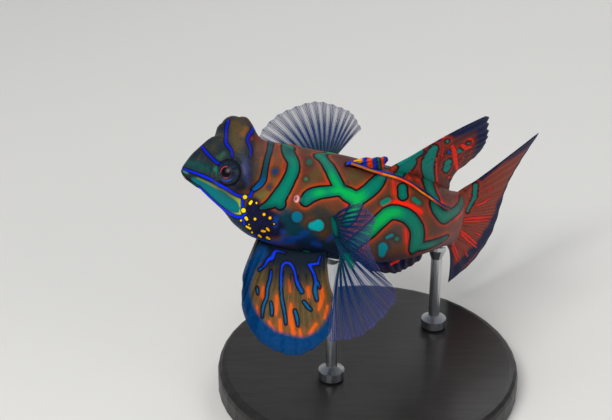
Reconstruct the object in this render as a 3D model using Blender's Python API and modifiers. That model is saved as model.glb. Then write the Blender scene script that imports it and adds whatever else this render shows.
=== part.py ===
"""Mandarinfish (Synchiropus splendidus): a still, life-size display model held by a plain stand.

The body is a bent loft. Stations are millimetres from the snout along the spine. At each one
the spine has a heading, and the section has a half width, a back height and a belly height.
A point on the skin is (station, angle), with the angle in degrees from the back over the
fish's left side (90) and the belly (180) to its right side (270). The fish heads towards -X,
its left side faces -Y, and the origin is the centre of the stand's underside.
"""
import math

import bmesh
import bpy
import numpy as np
from mathutils import Vector
from mathutils.bvhtree import BVHTree

MM = 0.001
GAP = 0.3                      # left between nodes that touch

# Where the body lies on the stand
BODY_LENGTH = 50.0             # snout to the root of the tail fin
OVER_STAND = 21.0              # the station whose place is given next
OVER_STAND_AT = (-4.5, -5.5, 31.0)
SPINE_STEP = 0.25

# Spine angles at stations, degrees: heading away from +X, nose-up pitch, roll to the left
YAW = ((0, 4), (12, 5), (20, 12), (28, 37), (36, 55), (44, 62), (50, 64))
PITCH = ((0, 17), (6, 19), (12, 16), (20, 19), (28, 23), (36, 25), (50, 25))
BANK = ((0, 14), (15, 12), (25, 8), (36, 2), (50, 0))

# Section sizes at stations
WIDTH = ((0, 0.75), (1, 1.3), (2.5, 2.25), (4, 3.45), (6, 4.85), (8, 6.0), (10.5, 6.7), (15, 6.6),
         (21, 6.4), (27, 5.9), (33, 5.1), (40, 3.9), (46, 2.7), (50, 1.3))
BACK = ((0, 1.1), (1, 3.4), (2.5, 6.1), (4, 6.65), (6, 6.85), (8, 5.9), (10.5, 5.8), (15, 6.1),
        (21, 6.5), (27, 6.4), (33, 5.8), (40, 4.7), (46, 3.9), (50, 3.7))
BELLY = ((0, 0.4), (1, 0.5), (2.5, 0.85), (4, 1.35), (6, 2.1), (8, 3.8), (10.5, 5.1), (15, 6.2),
         (21, 6.5), (27, 6.3), (33, 5.5), (40, 4.5), (46, 4.1), (50, 4.2))
SECTION_POWER = 2.25           # 2 is an ellipse, more is fuller at the corners
NOSE_ROUND = 0.9               # the snout's end is rounded over this length
NOSE_RINGS = (0.03, 0.12, 0.28)

# Head: (station, side, up) from the spine
DOME_AT = (5.6, 3.8, 4.65)      # the mound that carries each eye
DOME_RADIUS = 2.5
DOME_BLEND = 2.0
GAZE = (-0.53, 0.70, 0.48)     # the way each eye looks: aft, side, up
EYE_RADIUS = 1.75
EYE_OUT = 0.75                 # from the mound's centre along the gaze
LID_HEIGHT = 0.16
LID_WIDTH = 0.3
MOUTH_CORNER = 2.2             # station of the corners of the mouth
MOUTH_LINE = (0.12, -0.08)    # its height on the spine, and the change for each millimetre aft
MOUTH_GROOVE = 0.24
MOUTH_STEPS = 7                # points of the groove's path on each side
LIP_HEIGHT = 0.2
LIP_SPREAD = 0.32
NOSTRIL_AT = (3.0, 38)         # station and angle
NOSTRIL_RADIUS = 0.34
NOSTRIL_CUT = (0.7, 0.1)       # its hollow: a ball's share of that radius, and its height off the skin
GILL_AT = (13.9, 53)
GILL_RADIUS = 0.62
GILL_CUT = (0.8, 0.25)
RIM_HEIGHT = 0.2               # of the skin round a nostril or gill opening

# Body nodes: name, first and last station, length of one ring's step, points round it
BODY_NODES = (("head", 0.0, 12.0, 0.5, 48), ("torso", 12.0, 27.0, 1.7, 36),
              ("rear_body", 27.0, 41.0, 1.6, 32), ("tail_stalk", 41.0, 50.0, 1.6, 28))

# Fins: each row is a ray's root on the skin (station, angle) and its tip from there, as
# millimetres aft, up and out in the frame of the fin's own station
MEMBRANE = 0.5                 # thickness
RIDGE = 0.13                   # height of a ray above each face
NOTCH = 0.97                   # how far the membrane between two rays reaches, of their length
ROW_SPREAD = 1.15              # above 1 the rows crowd towards the root
BOW_TURN = 0.85                # the bow rises and falls over this share of half a turn
PECTORAL_NEAR = dict(station=20, rays=18, steps=6, bow=(-0.8, 0.5, 0.4), rows=(
    (18.4, 66, -1.2, 8.5, 8.4), (18.7, 73, 0.2, 8.8, 10.2), (19.0, 80, -0.4, 7.5, 12.2),
    (19.4, 88, 1.2, 6.1, 13.9), (19.9, 96, 3.7, 4.1, 14.6), (20.5, 104, 1.3, -0.5, 15.3),
    (21.2, 112, -2.4, -4.1, 13.2)))
PECTORAL_FAR = dict(station=20, rays=18, steps=6, bow=(0.0, 0.4, 0.0), rows=(
    (20.2, 68, 6.5, -0.5, 10.4), (19.8, 73, 4.9, 0.9, 12.8), (19.4, 78, 1.3, 0.6, 14.6),
    (19.0, 83, -2.4, -1.6, 14.4), (18.6, 88, -4.9, -4.2, 11.7), (18.2, 94, -4.6, -5.4, 9.2)))
PELVIC = dict(station=15, rays=12, steps=6, bow=(-0.2, -0.6, 0.2), rows=(
    (11.5, 148, -1.3, -1.6, 6.0), (13.2, 143, -2.3, -4.2, 8.3), (15.0, 138, -0.7, -6.9, 10.2),
    (16.7, 133, 1.2, -5.9, 12.0), (18.3, 127, 2.7, -3.4, 10.3), (19.8, 120, 0.6, -0.3, 7.0)))
DORSAL_FIRST = dict(station=22, rays=4, steps=4, bow=(0.0, 0.2, 0.0), rows=(
    (19.4, 0, 1.8, 1.2, 0.2), (21.0, 0, 2.0, 1.6, 0.2), (22.6, 0, 1.5, 1.8, 0.1),
    (24.2, 0, 0.3, 1.5, 0.0)))
DORSAL_SECOND = dict(station=35, rays=9, steps=7, bow=(-0.2, 0.5, 0.0), rows=(
    (25.9, 0, 12.6, 9.6, 4.8), (30.0, 0, 12.7, 7.4, 2.9), (34.0, 0, 11.5, 5.7, 1.9),
    (39.0, 0, 10.2, 4.1, -0.2), (44.5, 0, 7.2, 1.5, -3.1)))
ANAL = dict(station=34, rays=7, steps=5, bow=(0.0, -0.4, 0.0), rows=(
    (27.5, 180, 3.0, -1.6, 0.0), (31.5, 180, 4.4, -2.2, -0.3), (36.0, 180, 4.6, -2.5, -1.8),
    (41.0, 180, 4.2, -1.8, -2.2)))
# The tail fin's rays start on the stalk's end face: height up, then the tip as above
CAUDAL = dict(station=50, rays=12, steps=7, bow=(-0.3, 0.3, 0.4), rows=(
    (3.4, 17.4, 10.7, 5.2), (2.2, 19.0, 6.6, 2.6), (0.8, 19.0, 3.2, 1.2),
    (-0.9, 18.6, -1.0, 0.7), (-2.5, 16.8, -4.6, -0.8), (-3.9, 13.2, -7.4, -3.2)))
CAUDAL_ROOT = 1.4              # thickness of the tail fin where it leaves the stalk

# The first dorsal spine's filament lies back along the left flank: (station, angle) on the skin
FILAMENT_PATH = ((20.0, 2), (22.0, 9), (25.0, 17), (27.0, 27), (29.0, 38), (32.0, 52), (36.0, 62))
FILAMENT_RADIUS = (0.36, 0.26)
FILAMENT_LIFT = 0.38           # its underside above the skin

# Stand
BASE_RADIUS = 21.0
BASE_HEIGHT = 4.0
BASE_EDGE = 1.2
BASE_FOOT_EDGE = 0.5
ROD_RADIUS = 0.8
ROD_PAD_RADIUS = 1.3           # the small pad under the fish
ROD_FOOT_RADIUS = 1.8
ROD_PAD_HEIGHT = 0.6
ROD_PAD_END = 1.6              # below the top, where the pad has narrowed to the rod
ROD_FOOT_HEIGHT = 1.2
ROD_FOOT_END = 1.8
ROD_STATIONS = (("stand_rod_front", 23.0), ("stand_rod_rear", 45.5))

# Finishes: base colour, roughness, metallic
FINISHES = {
    "skin": ((0.22, 0.10, 0.05), 0.42, 0.0),
    "fin_clear": ((0.16, 0.24, 0.42), 0.4, 0.0),
    "fin_dark": ((0.10, 0.06, 0.10), 0.4, 0.0),
    "eye": ((0.03, 0.03, 0.05), 0.12, 0.0),
    "stand_base": ((0.03, 0.03, 0.03), 0.35, 0.0),
    "stand_rod": ((0.55, 0.56, 0.58), 0.3, 1.0),
}


def clear_scene():
    for thing in list(bpy.data.objects):
        bpy.data.objects.remove(thing, do_unlink=True)


def collection(name):
    made = bpy.data.collections.new(name)
    bpy.context.scene.collection.children.link(made)
    return made


def finish(name):
    """The finish's material, made once."""
    if name in bpy.data.materials:
        return bpy.data.materials[name]
    colour, roughness, metallic = FINISHES[name]
    material = bpy.data.materials.new(name)
    material.use_nodes = True
    shader = material.node_tree.nodes["Principled BSDF"]
    shader.inputs["Base Color"].default_value = (*colour, 1.0)
    shader.inputs["Roughness"].default_value = roughness
    shader.inputs["Metallic"].default_value = metallic
    return material


def along(keys, at):
    """A smooth curve through (place, value) keys that never overshoots them."""
    places = np.array([key[0] for key in keys], float)
    values = np.array([key[1] for key in keys], float)
    at = np.asarray(at, float)
    steps = np.diff(places)
    rises = np.diff(values) / steps
    slopes = np.zeros_like(values)
    product = rises[:-1] * rises[1:]
    total = np.where(product > 0, rises[:-1] + rises[1:], 1.0)
    slopes[1:-1] = np.where(product > 0, 2 * product / total, 0.0)
    slopes[0], slopes[-1] = rises[0], rises[-1]
    k = np.clip(np.searchsorted(places, at, side="right") - 1, 0, len(places) - 2)
    h = steps[k]
    t = np.clip((at - places[k]) / h, 0, 1)
    start = (2 * t**3 - 3 * t**2 + 1) * values[k] + (t**3 - 2 * t**2 + t) * h * slopes[k]
    return start + (3 * t**2 - 2 * t**3) * values[k + 1] + (t**3 - t**2) * h * slopes[k + 1]


def unit(vector):
    return vector / np.linalg.norm(vector, axis=-1, keepdims=True)


def heading(station):
    yaw, pitch = np.radians(along(YAW, station)), np.radians(along(PITCH, station))
    return np.stack([np.cos(yaw) * np.cos(pitch), np.sin(yaw) * np.cos(pitch), -np.sin(pitch)], -1)


def spine_points():
    """The spine's places, added up step by step from its heading."""
    stations = np.arange(0, BODY_LENGTH + SPINE_STEP / 2, SPINE_STEP)
    steps = heading((stations[:-1] + stations[1:]) / 2) * SPINE_STEP
    points = np.concatenate([[np.zeros(3)], np.cumsum(steps, axis=0)])
    reference = [np.interp(OVER_STAND, stations, points[:, k]) for k in range(3)]
    return stations, points - reference + np.array(OVER_STAND_AT)


SPINE_STATIONS, SPINE_POINTS = spine_points()


def frame(station):
    """The spine's point and its aft, up and left directions."""
    station = np.asarray(station, float)
    aft = heading(station)
    point = np.stack([np.interp(station, SPINE_STATIONS, SPINE_POINTS[:, k]) for k in range(3)], -1)
    past = station - np.clip(station, 0, BODY_LENGTH)
    point = point + past[..., None] * aft
    level = unit(np.array([0, 0, 1.0]) - aft[..., 2:3] * aft)
    side = np.cross(aft, level)
    roll = np.radians(along(BANK, station))[..., None]
    up = np.cos(roll) * level + np.sin(roll) * side
    left = np.cos(roll) * side - np.sin(roll) * level
    return point, aft, up, left


def smooth_least(a, b, blend):
    share = np.clip(0.5 + 0.5 * (b - a) / blend, 0, 1)
    return b * (1 - share) + a * share - blend * share * (1 - share)


def bump(distance, spread):
    return np.exp(-(distance / spread) ** 2)


def nose_scale(station):
    """Rounds the sections off over the snout's first stretch."""
    short = np.clip(1 - station / NOSE_ROUND, 0, 1)
    return np.sqrt(np.maximum(1 - short**2, 1e-6))


def plain_radius(station, angle):
    """Radius of the section with the eye mounds blended in."""
    half = along(WIDTH, station)
    tall = np.where(np.cos(angle) > 0, along(BACK, station), along(BELLY, station))
    spread = (np.abs(np.sin(angle)) / half) ** SECTION_POWER
    rise = (np.abs(np.cos(angle)) / tall) ** SECTION_POWER
    section = (spread + rise) ** (-1 / SECTION_POWER) * nose_scale(station)
    low, high = section * 0.8, section + 2 * DOME_RADIUS
    for _ in range(36):
        radius = (low + high) / 2
        side, up = radius * np.sin(angle), radius * np.cos(angle)
        from_dome = np.sqrt((station - DOME_AT[0]) ** 2 + (np.abs(side) - DOME_AT[1]) ** 2
                            + (up - DOME_AT[2]) ** 2) - DOME_RADIUS
        outside = smooth_least(radius - section, from_dome, DOME_BLEND) > 0
        high = np.where(outside, radius, high)
        low = np.where(outside, low, radius)
    return radius


def eye_centre():
    """(station, side, up) of the left eye's centre."""
    return np.array(DOME_AT) + EYE_OUT * unit(np.array(GAZE))


def skin_radius(station, angle):
    """Radius of the section with the lips, lids and rims of the openings raised on it."""
    radius = plain_radius(station, angle)
    place = np.stack([station, np.abs(radius * np.sin(angle)), radius * np.cos(angle)], -1)
    from_eye = place - eye_centre()
    ahead = from_eye @ unit(np.array(GAZE))
    off_axis = np.sqrt(np.maximum((from_eye**2).sum(-1) - ahead**2, 0))
    lid = LID_HEIGHT * bump(off_axis - EYE_RADIUS - GAP, LID_WIDTH) * (ahead > -0.5)
    mouth = MOUTH_LINE[0] + MOUTH_LINE[1] * station
    fade = np.clip(1 - (station - MOUTH_CORNER) / 0.6, 0, 1)
    lip = LIP_HEIGHT * bump(np.abs(place[..., 2] - mouth) - LIP_SPREAD, LIP_SPREAD) * fade
    lip = lip * np.clip(station / NOSE_ROUND, 0, 1)
    openings = 0
    for (at, degrees), size in ((NOSTRIL_AT, NOSTRIL_RADIUS), (GILL_AT, GILL_RADIUS)):
        turn = math.radians(degrees)
        centre_radius = plain_radius(np.array(float(at)), np.array(turn))
        centre = np.array([at, centre_radius * math.sin(turn), centre_radius * math.cos(turn)])
        distance = np.sqrt(((place - centre) ** 2).sum(-1))
        openings = openings + RIM_HEIGHT * bump(distance - size, size * 0.5)
    return radius + lid + lip + openings


def skin(station, degrees, lift=0.0):
    """The point on the skin, lifted off it by so much, and the skin's outward direction there."""
    station, degrees = np.broadcast_arrays(np.asarray(station, float), np.asarray(degrees, float))

    def surface(at, turn):
        point, _, up, left = frame(at)
        radius = skin_radius(at, turn)[..., None]
        return point + radius * (np.sin(turn)[..., None] * left + np.cos(turn)[..., None] * up)

    turn = np.radians(degrees)
    small_step, small_turn = 0.05, math.radians(1)
    lengthwise = surface(station + small_step, turn) - surface(station - small_step, turn)
    around = surface(station, turn + small_turn) - surface(station, turn - small_turn)
    out = unit(np.cross(lengthwise, around))
    _, _, up, left = frame(station)
    radial = np.sin(turn)[..., None] * left + np.cos(turn)[..., None] * up
    out = out * np.sign((out * radial).sum(-1, keepdims=True))
    return surface(station, turn) + lift * out, out


def body_place(station, side, up):
    point, _, up_way, left_way = frame(station)
    return point + side * left_way + up * up_way


def add_object(name, mesh, look, group):
    mesh.materials.clear()
    mesh.materials.append(finish(look))
    piece = bpy.data.objects.new(name, mesh)
    group.objects.link(piece)
    mesh.shade_smooth()
    mesh.set_sharp_from_angle(angle=math.radians(40))
    return piece


def mesh_of(name, points, faces):
    """A closed mesh of triangles from points in millimetres, its faces turned outwards."""
    mesh = bpy.data.meshes.new(name)
    mesh.from_pydata([tuple(point * MM) for point in np.asarray(points)], [], faces)
    work = bmesh.new()
    work.from_mesh(mesh)
    bmesh.ops.triangulate(work, faces=work.faces)
    bmesh.ops.recalc_face_normals(work, faces=work.faces)
    work.to_mesh(mesh)
    work.free()
    return mesh


def loft(name, rings, start, end):
    """Rings of like count joined by faces, closed at each end round a middle point."""
    count = len(rings[0])
    points = [point for ring in rings for point in ring] + [start, end]
    faces = []
    for i in range(len(rings) - 1):
        for j in range(count):
            k = (j + 1) % count
            faces.append((i * count + j, i * count + k, (i + 1) * count + k, (i + 1) * count + j))
    last = (len(rings) - 1) * count
    for j in range(count):
        k = (j + 1) % count
        faces.append((len(points) - 2, k, j))
        faces.append((len(points) - 1, last + j, last + k))
    return mesh_of(name, points, faces)


def settle(piece):
    """Makes the piece's modifiers real."""
    graph = bpy.context.evaluated_depsgraph_get()
    made = bpy.data.meshes.new_from_object(piece.evaluated_get(graph))
    piece.modifiers.clear()
    piece.data = made


def keep_largest(piece):
    """Drops all but the piece's largest closed surface."""
    work = bmesh.new()
    work.from_mesh(piece.data)
    left_over = set(work.faces)
    shells = []
    while left_over:
        shell, waiting = set(), [left_over.pop()]
        while waiting:
            face = waiting.pop()
            shell.add(face)
            for edge in face.edges:
                for other in edge.link_faces:
                    if other in left_over:
                        left_over.discard(other)
                        waiting.append(other)
        shells.append(shell)
    shells.sort(key=len)
    scraps = [face for shell in shells[:-1] for face in shell]
    bmesh.ops.delete(work, geom=scraps, context="FACES")
    bmesh.ops.triangulate(work, faces=work.faces)
    work.to_mesh(piece.data)
    work.free()


def join_or_cut(piece, tools, operation):
    """Unites the piece with the tools, or cuts them out of it, and removes them."""
    for tool in tools:
        step = piece.modifiers.new(operation.lower(), "BOOLEAN")
        step.operation = operation
        step.object = tool
    settle(piece)
    for tool in tools:
        bpy.data.objects.remove(tool, do_unlink=True)
    keep_largest(piece)


def ball(name, centre, radius, facing, group, segments=20, rings=12):
    """A sphere in millimetres whose poles lie along the facing direction."""
    work = bmesh.new()
    bmesh.ops.create_uvsphere(work, u_segments=segments, v_segments=rings, radius=radius * MM)
    turn = Vector((0, 0, 1)).rotation_difference(Vector(facing)).to_matrix()
    bmesh.ops.rotate(work, cent=(0, 0, 0), matrix=turn, verts=work.verts)
    bmesh.ops.translate(work, vec=Vector(centre) * MM, verts=work.verts)
    bmesh.ops.triangulate(work, faces=work.faces)
    mesh = bpy.data.meshes.new(name)
    work.to_mesh(mesh)
    work.free()
    return add_object(name, mesh, "eye", group)


def tube(name, points, radii, sides, group):
    """A round rod along the points, given by a curve with a bevel, as a closed mesh."""
    curve = bpy.data.curves.new(name, "CURVE")
    curve.dimensions = "3D"
    curve.bevel_depth = MM
    curve.bevel_resolution = sides // 2 - 2
    curve.use_fill_caps = True
    spline = curve.splines.new("POLY")
    spline.points.add(len(points) - 1)
    for spot, point, radius in zip(spline.points, points, radii):
        spot.co = (*(np.asarray(point) * MM), 1.0)
        spot.radius = radius
    holder = bpy.data.objects.new(name + "_path", curve)
    group.objects.link(holder)
    graph = bpy.context.evaluated_depsgraph_get()
    mesh = bpy.data.meshes.new_from_object(holder.evaluated_get(graph))
    bpy.data.objects.remove(holder, do_unlink=True)
    work = bmesh.new()
    work.from_mesh(mesh)
    bmesh.ops.remove_doubles(work, verts=work.verts, dist=1e-6)
    bmesh.ops.recalc_face_normals(work, faces=work.faces)
    work.to_mesh(mesh)
    work.free()
    return add_object(name, mesh, "skin", group)


def mouth_curve():
    """Points of the mouth's line on the skin, from the left corner round the snout."""
    half = []
    for step in np.linspace(1, 0.12, MOUTH_STEPS):
        station = MOUTH_CORNER * step**2
        height = MOUTH_LINE[0] + MOUTH_LINE[1] * station
        angles = np.radians(np.linspace(60, 180, 121))
        up = skin_radius(np.full(121, station), angles) * np.cos(angles)
        half.append((station, math.degrees(angles[np.argmin(np.abs(up - height))])))
    left = [skin(station, degrees)[0] for station, degrees in half]
    right = [skin(station, -degrees)[0] for station, degrees in half]
    front = body_place(0.0, 0.0, MOUTH_LINE[0])
    return left + [front] + right[::-1]


def make_body(group, cutters):
    pieces = {}
    for name, first, last, step, sides in BODY_NODES:
        start = NOSE_RINGS[0] if first == 0 else first + GAP / 2
        end = last if last == BODY_LENGTH else last - GAP / 2
        count = round((end - start) / step) + 1
        stations = np.linspace(start, end, count)
        if first == 0:
            stations = np.concatenate([NOSE_RINGS, stations[1:]])
        angles = np.arange(sides) * 360 / sides
        rings = [skin(np.full(sides, station), angles)[0] for station in stations]
        middle = frame(0.0 if first == 0 else start)[0]
        pieces[name] = add_object(name, loft(name, rings, middle, frame(end)[0]), "skin", group)
    mouth = mouth_curve()
    head_cuts = [tube("mouth_cut", mouth, [MOUTH_GROOVE] * len(mouth), 6, cutters)]
    for side, label in ((1, "left"), (-1, "right")):
        station, out, up = eye_centre()
        _, aft_way, up_way, left_way = frame(station)
        centre = body_place(station, side * out, up)
        facing = GAZE[0] * aft_way + side * GAZE[1] * left_way + GAZE[2] * up_way
        head_cuts.append(ball("socket_" + label, centre, EYE_RADIUS + GAP, facing, cutters))
        ball("eye_" + label, centre, EYE_RADIUS, facing, group)
        at, degrees = NOSTRIL_AT
        spot, out_way = skin(at, side * degrees, NOSTRIL_CUT[1])
        head_cuts.append(ball("nostril", spot, NOSTRIL_RADIUS * NOSTRIL_CUT[0], out_way, cutters, 8, 6))
    join_or_cut(pieces["head"], head_cuts, "DIFFERENCE")
    gills = []
    for side in (1, -1):
        spot, out_way = skin(GILL_AT[0], side * GILL_AT[1], GILL_CUT[1])
        gills.append(ball("gill", spot, GILL_RADIUS * GILL_CUT[0], out_way, cutters, 10, 6))
    join_or_cut(pieces["torso"], gills, "DIFFERENCE")
    return pieces


def skin_root(fin, share, side):
    """Where a ray leaves the skin, and the skin's outward direction there."""
    places = np.linspace(0, 1, len(fin["rows"]))
    station = along(list(zip(places, [row[0] for row in fin["rows"]])), share)
    degrees = along(list(zip(places, [row[1] for row in fin["rows"]])), share)
    return skin(station, side * degrees, GAP)


def stalk_root(fin, share, side):
    """Where a ray of the tail fin leaves the stalk's end face."""
    places = np.linspace(0, 1, len(fin["rows"]))
    height = along(list(zip(places, [row[0] for row in fin["rows"]])), share)
    point, aft, up, _ = frame(np.full(len(share), BODY_LENGTH + GAP))
    return point + height[:, None] * up, aft


def fan(name, fin, side, look, group, root=skin_root, root_thickness=MEMBRANE):
    """A fin of rays: one membrane with a ridge along each ray, closed all round.

    Its columns are a membrane edge, then a ray and a membrane in turn. The membrane ends a
    little short of the rays' tips. Both faces are split into triangles alike.
    """
    columns = 2 * fin["rays"] + 1
    share = np.linspace(0, 1, columns)
    is_ray = np.arange(columns) % 2 == 1
    roots, root_out = root(fin, share, side)
    places = np.linspace(0, 1, len(fin["rows"]))
    tips = [along(list(zip(places, [row[k] for row in fin["rows"]])), share) for k in (-3, -2, -1)]
    _, aft_way, up_way, left_way = frame(float(fin["station"]))
    reach = np.where(is_ray | (share == 0) | (share == 1), 1.0, NOTCH)
    vectors = (tips[0][:, None] * aft_way + tips[1][:, None] * up_way
               + side * tips[2][:, None] * left_way) * reach[:, None]
    bow = fin["bow"][0] * aft_way + fin["bow"][1] * up_way + side * fin["bow"][2] * left_way
    steps = np.linspace(0, 1, fin["steps"] + 1)[:, None, None] ** ROW_SPREAD
    grid = roots + steps * vectors + np.sin(np.pi * steps * BOW_TURN) * bow
    along_root = np.gradient(roots, axis=0)
    flat = unit(np.cross(np.gradient(grid, axis=0), np.gradient(grid, axis=1)))
    root_way = unit(np.cross(root_out, along_root))
    flat = flat * np.sign((flat * root_way).sum(-1, keepdims=True).sum(0, keepdims=True))
    flat[0] = root_way
    thick = np.full(grid.shape[:2], MEMBRANE / 2) + RIDGE * is_ray * (1 - 0.6 * steps[:, :, 0])
    fade = np.clip(1 - steps[:, :, 0] * 4, 0, 1)
    thick = np.maximum(thick, root_thickness / 2 * fade)
    edge = 1 - 0.5 * np.clip(steps[:, :, 0] - 0.8, 0, 1) / 0.2
    thick = thick * edge
    sheets = [grid + thick[..., None] * flat, grid - thick[..., None] * flat]
    rows = len(grid)
    points = np.concatenate([sheet.reshape(-1, 3) for sheet in sheets])

    def spot(sheet, row, column):
        return (sheet * rows + row) * columns + column

    faces = []
    for row in range(rows - 1):
        for column in range(columns - 1):
            for sheet in (0, 1):
                a, b = spot(sheet, row, column), spot(sheet, row + 1, column)
                c, d = spot(sheet, row + 1, column + 1), spot(sheet, row, column + 1)
                faces += [(a, b, c), (a, c, d)]
        for column in (0, columns - 1):
            a, b = spot(0, row, column), spot(0, row + 1, column)
            c, d = spot(1, row + 1, column), spot(1, row, column)
            faces += [(a, b, c), (a, c, d)]
    for column in range(columns - 1):
        for row in (0, rows - 1):
            a, b = spot(0, row, column), spot(0, row, column + 1)
            c, d = spot(1, row, column + 1), spot(1, row, column)
            faces += [(a, b, c), (a, c, d)]
    return add_object(name, mesh_of(name, points, faces), look, group)


def make_fins(group, cutters):
    fan("fin_pectoral_left", PECTORAL_NEAR, 1, "fin_clear", group)
    fan("fin_pectoral_right", PECTORAL_FAR, -1, "fin_clear", group)
    fan("fin_pelvic_left", PELVIC, 1, "fin_dark", group)
    fan("fin_pelvic_right", PELVIC, -1, "fin_dark", group)
    fan("fin_dorsal_second", DORSAL_SECOND, 1, "fin_dark", group)
    fan("fin_anal", ANAL, 1, "fin_dark", group)
    fan("fin_caudal", CAUDAL, 1, "fin_dark", group, stalk_root, CAUDAL_ROOT)
    first = fan("fin_dorsal_first", DORSAL_FIRST, 1, "fin_dark", group)
    count = 22
    share = np.linspace(0, 1, count)
    places = np.linspace(0, 1, len(FILAMENT_PATH))
    station = along(list(zip(places, [spot[0] for spot in FILAMENT_PATH])), share)
    degrees = along(list(zip(places, [spot[1] for spot in FILAMENT_PATH])), share)
    radii = np.interp(share, [0, 1], FILAMENT_RADIUS)
    path = [skin(s, a, FILAMENT_LIFT + r)[0] for s, a, r in zip(station, degrees, radii)]
    join_or_cut(first, [tube("filament", path, radii, 6, cutters)], "UNION")


def turned(name, profile, look, group, steps):
    """A solid of revolution about Z, from a profile that runs from the top down its outer side."""
    mesh = bpy.data.meshes.new(name)
    points = [(radius * MM, 0.0, height * MM) for radius, height in profile]
    mesh.from_pydata(points, [(k, k + 1) for k in range(len(points) - 1)], [])
    piece = add_object(name, mesh, look, group)
    spin = piece.modifiers.new("turn", "SCREW")
    spin.steps = spin.render_steps = steps
    spin.use_merge_vertices = True
    spin.merge_threshold = 1e-6
    settle(piece)
    return piece


def make_stand(group, pieces):
    edge = [(BASE_RADIUS - BASE_EDGE * (1 - math.sin(turn)),
             BASE_HEIGHT - BASE_EDGE * (1 - math.cos(turn)))
            for turn in np.linspace(0, math.pi / 2, 4)]
    foot_edge = [(BASE_RADIUS, BASE_FOOT_EDGE), (BASE_RADIUS - BASE_FOOT_EDGE, 0), (0, 0)]
    profile = [(0, BASE_HEIGHT)] + edge + foot_edge
    turned("stand_base", profile, "stand_base", group, 48)
    for name, station in ROD_STATIONS:
        under = skin(station, 180.0)[0]
        carried = pieces["torso"] if station < BODY_NODES[1][2] else pieces["tail_stalk"]
        graph = bpy.context.evaluated_depsgraph_get()
        body = BVHTree.FromObject(carried, graph)
        foot = BASE_HEIGHT + GAP
        top = under[2] - GAP
        profile = [(0, top), (ROD_PAD_RADIUS, top), (ROD_PAD_RADIUS, top - ROD_PAD_HEIGHT),
                   (ROD_RADIUS, top - ROD_PAD_END), (ROD_RADIUS, foot + ROD_FOOT_END),
                   (ROD_FOOT_RADIUS, foot + ROD_FOOT_HEIGHT), (ROD_FOOT_RADIUS, foot), (0, foot)]
        rod = turned(name, profile, "stand_rod", group, 16)
        for vertex in rod.data.vertices:
            vertex.co.x += under[0] * MM
            vertex.co.y += under[1] * MM
            if vertex.co.z > (top - 1.5 * ROD_PAD_HEIGHT) * MM:
                low = Vector((vertex.co.x, vertex.co.y, 0))
                hit = body.ray_cast(low, Vector((0, 0, 1)))[0]
                vertex.co.z += hit.z - under[2] * MM


clear_scene()
model = collection("mandarinfish")
cutter_group = collection("cutters")
body_pieces = make_body(model, cutter_group)
make_fins(model, cutter_group)
make_stand(model, body_pieces)
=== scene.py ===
"""The looks of the mandarinfish display model.

Shapes are worked out in millimetres, in the CAD frame, and made in metres. The skin is one fine
grid of rings, and each fin is a fine grid of rows and columns. Markings are strokes, each a line
of points with half widths. They are laid on a surface, and every point of the surface keeps its
distance to the edge of the nearest stroke. The materials colour by those distances.
"""

import math

import bmesh
import bpy
import numpy as np
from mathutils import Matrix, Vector
from mathutils.bvhtree import BVHTree


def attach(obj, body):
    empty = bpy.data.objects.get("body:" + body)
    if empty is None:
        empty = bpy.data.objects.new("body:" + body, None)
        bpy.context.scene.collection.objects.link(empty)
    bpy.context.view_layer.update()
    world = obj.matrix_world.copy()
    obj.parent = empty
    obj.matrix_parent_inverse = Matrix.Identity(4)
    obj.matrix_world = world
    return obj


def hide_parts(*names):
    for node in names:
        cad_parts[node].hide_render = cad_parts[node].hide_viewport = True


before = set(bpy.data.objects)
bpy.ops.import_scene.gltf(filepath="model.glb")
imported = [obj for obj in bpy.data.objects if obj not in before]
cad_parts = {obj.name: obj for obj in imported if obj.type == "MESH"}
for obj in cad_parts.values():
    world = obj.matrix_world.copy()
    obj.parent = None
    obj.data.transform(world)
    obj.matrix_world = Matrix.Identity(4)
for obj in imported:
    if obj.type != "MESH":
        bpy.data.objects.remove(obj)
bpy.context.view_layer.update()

MM = 0.001

# The body, as in the part's source: sizes in millimetres, angles in degrees
GAP = 0.3
BODY_LENGTH = 50.0
OVER_STAND = 21.0
OVER_STAND_AT = (-4.5, -5.5, 31.0)
SPINE_STEP = 0.25
YAW = ((0, 4), (12, 5), (20, 12), (28, 37), (36, 55), (44, 62), (50, 64))
PITCH = ((0, 17), (6, 19), (12, 16), (20, 19), (28, 23), (36, 25), (50, 25))
BANK = ((0, 14), (15, 12), (25, 8), (36, 2), (50, 0))
WIDTH = ((0, 0.75), (1, 1.3), (2.5, 2.25), (4, 3.45), (6, 4.85), (8, 6.0), (10.5, 6.7), (15, 6.6),
         (21, 6.4), (27, 5.9), (33, 5.1), (40, 3.9), (46, 2.7), (50, 1.3))
BACK = ((0, 1.1), (1, 3.4), (2.5, 6.1), (4, 6.65), (6, 6.85), (8, 5.9), (10.5, 5.8), (15, 6.1),
        (21, 6.5), (27, 6.4), (33, 5.8), (40, 4.7), (46, 3.9), (50, 3.7))
BELLY = ((0, 0.4), (1, 0.5), (2.5, 0.85), (4, 1.35), (6, 2.1), (8, 3.8), (10.5, 5.1), (15, 6.2),
         (21, 6.5), (27, 6.3), (33, 5.5), (40, 4.5), (46, 4.1), (50, 4.2))
SECTION_POWER = 2.25
HALVINGS = 36                  # of the span in which a section's radius is looked for
NOSE_ROUND = 0.9
TAIL_ROUND = 1.6               # the stalk narrows into the tail fin over this length
TAIL_NARROWING = 0.93
DOME_AT = (5.6, 3.8, 4.65)
DOME_RADIUS = 2.5
DOME_BLEND = 2.0
GAZE = (-0.53, 0.70, 0.48)
EYE_RADIUS = 1.75
EYE_OUT = 0.75
EYE_OPENING = 1.52             # the lids' opening, from the gaze's axis
LID_SLOPE = (0.08, 0.26)       # inside and outside the opening's edge, where the skin turns in
SOCKET_DEPTH = 0.95
LID_HEIGHT = 0.16
LID_WIDTH = 0.3
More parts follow.
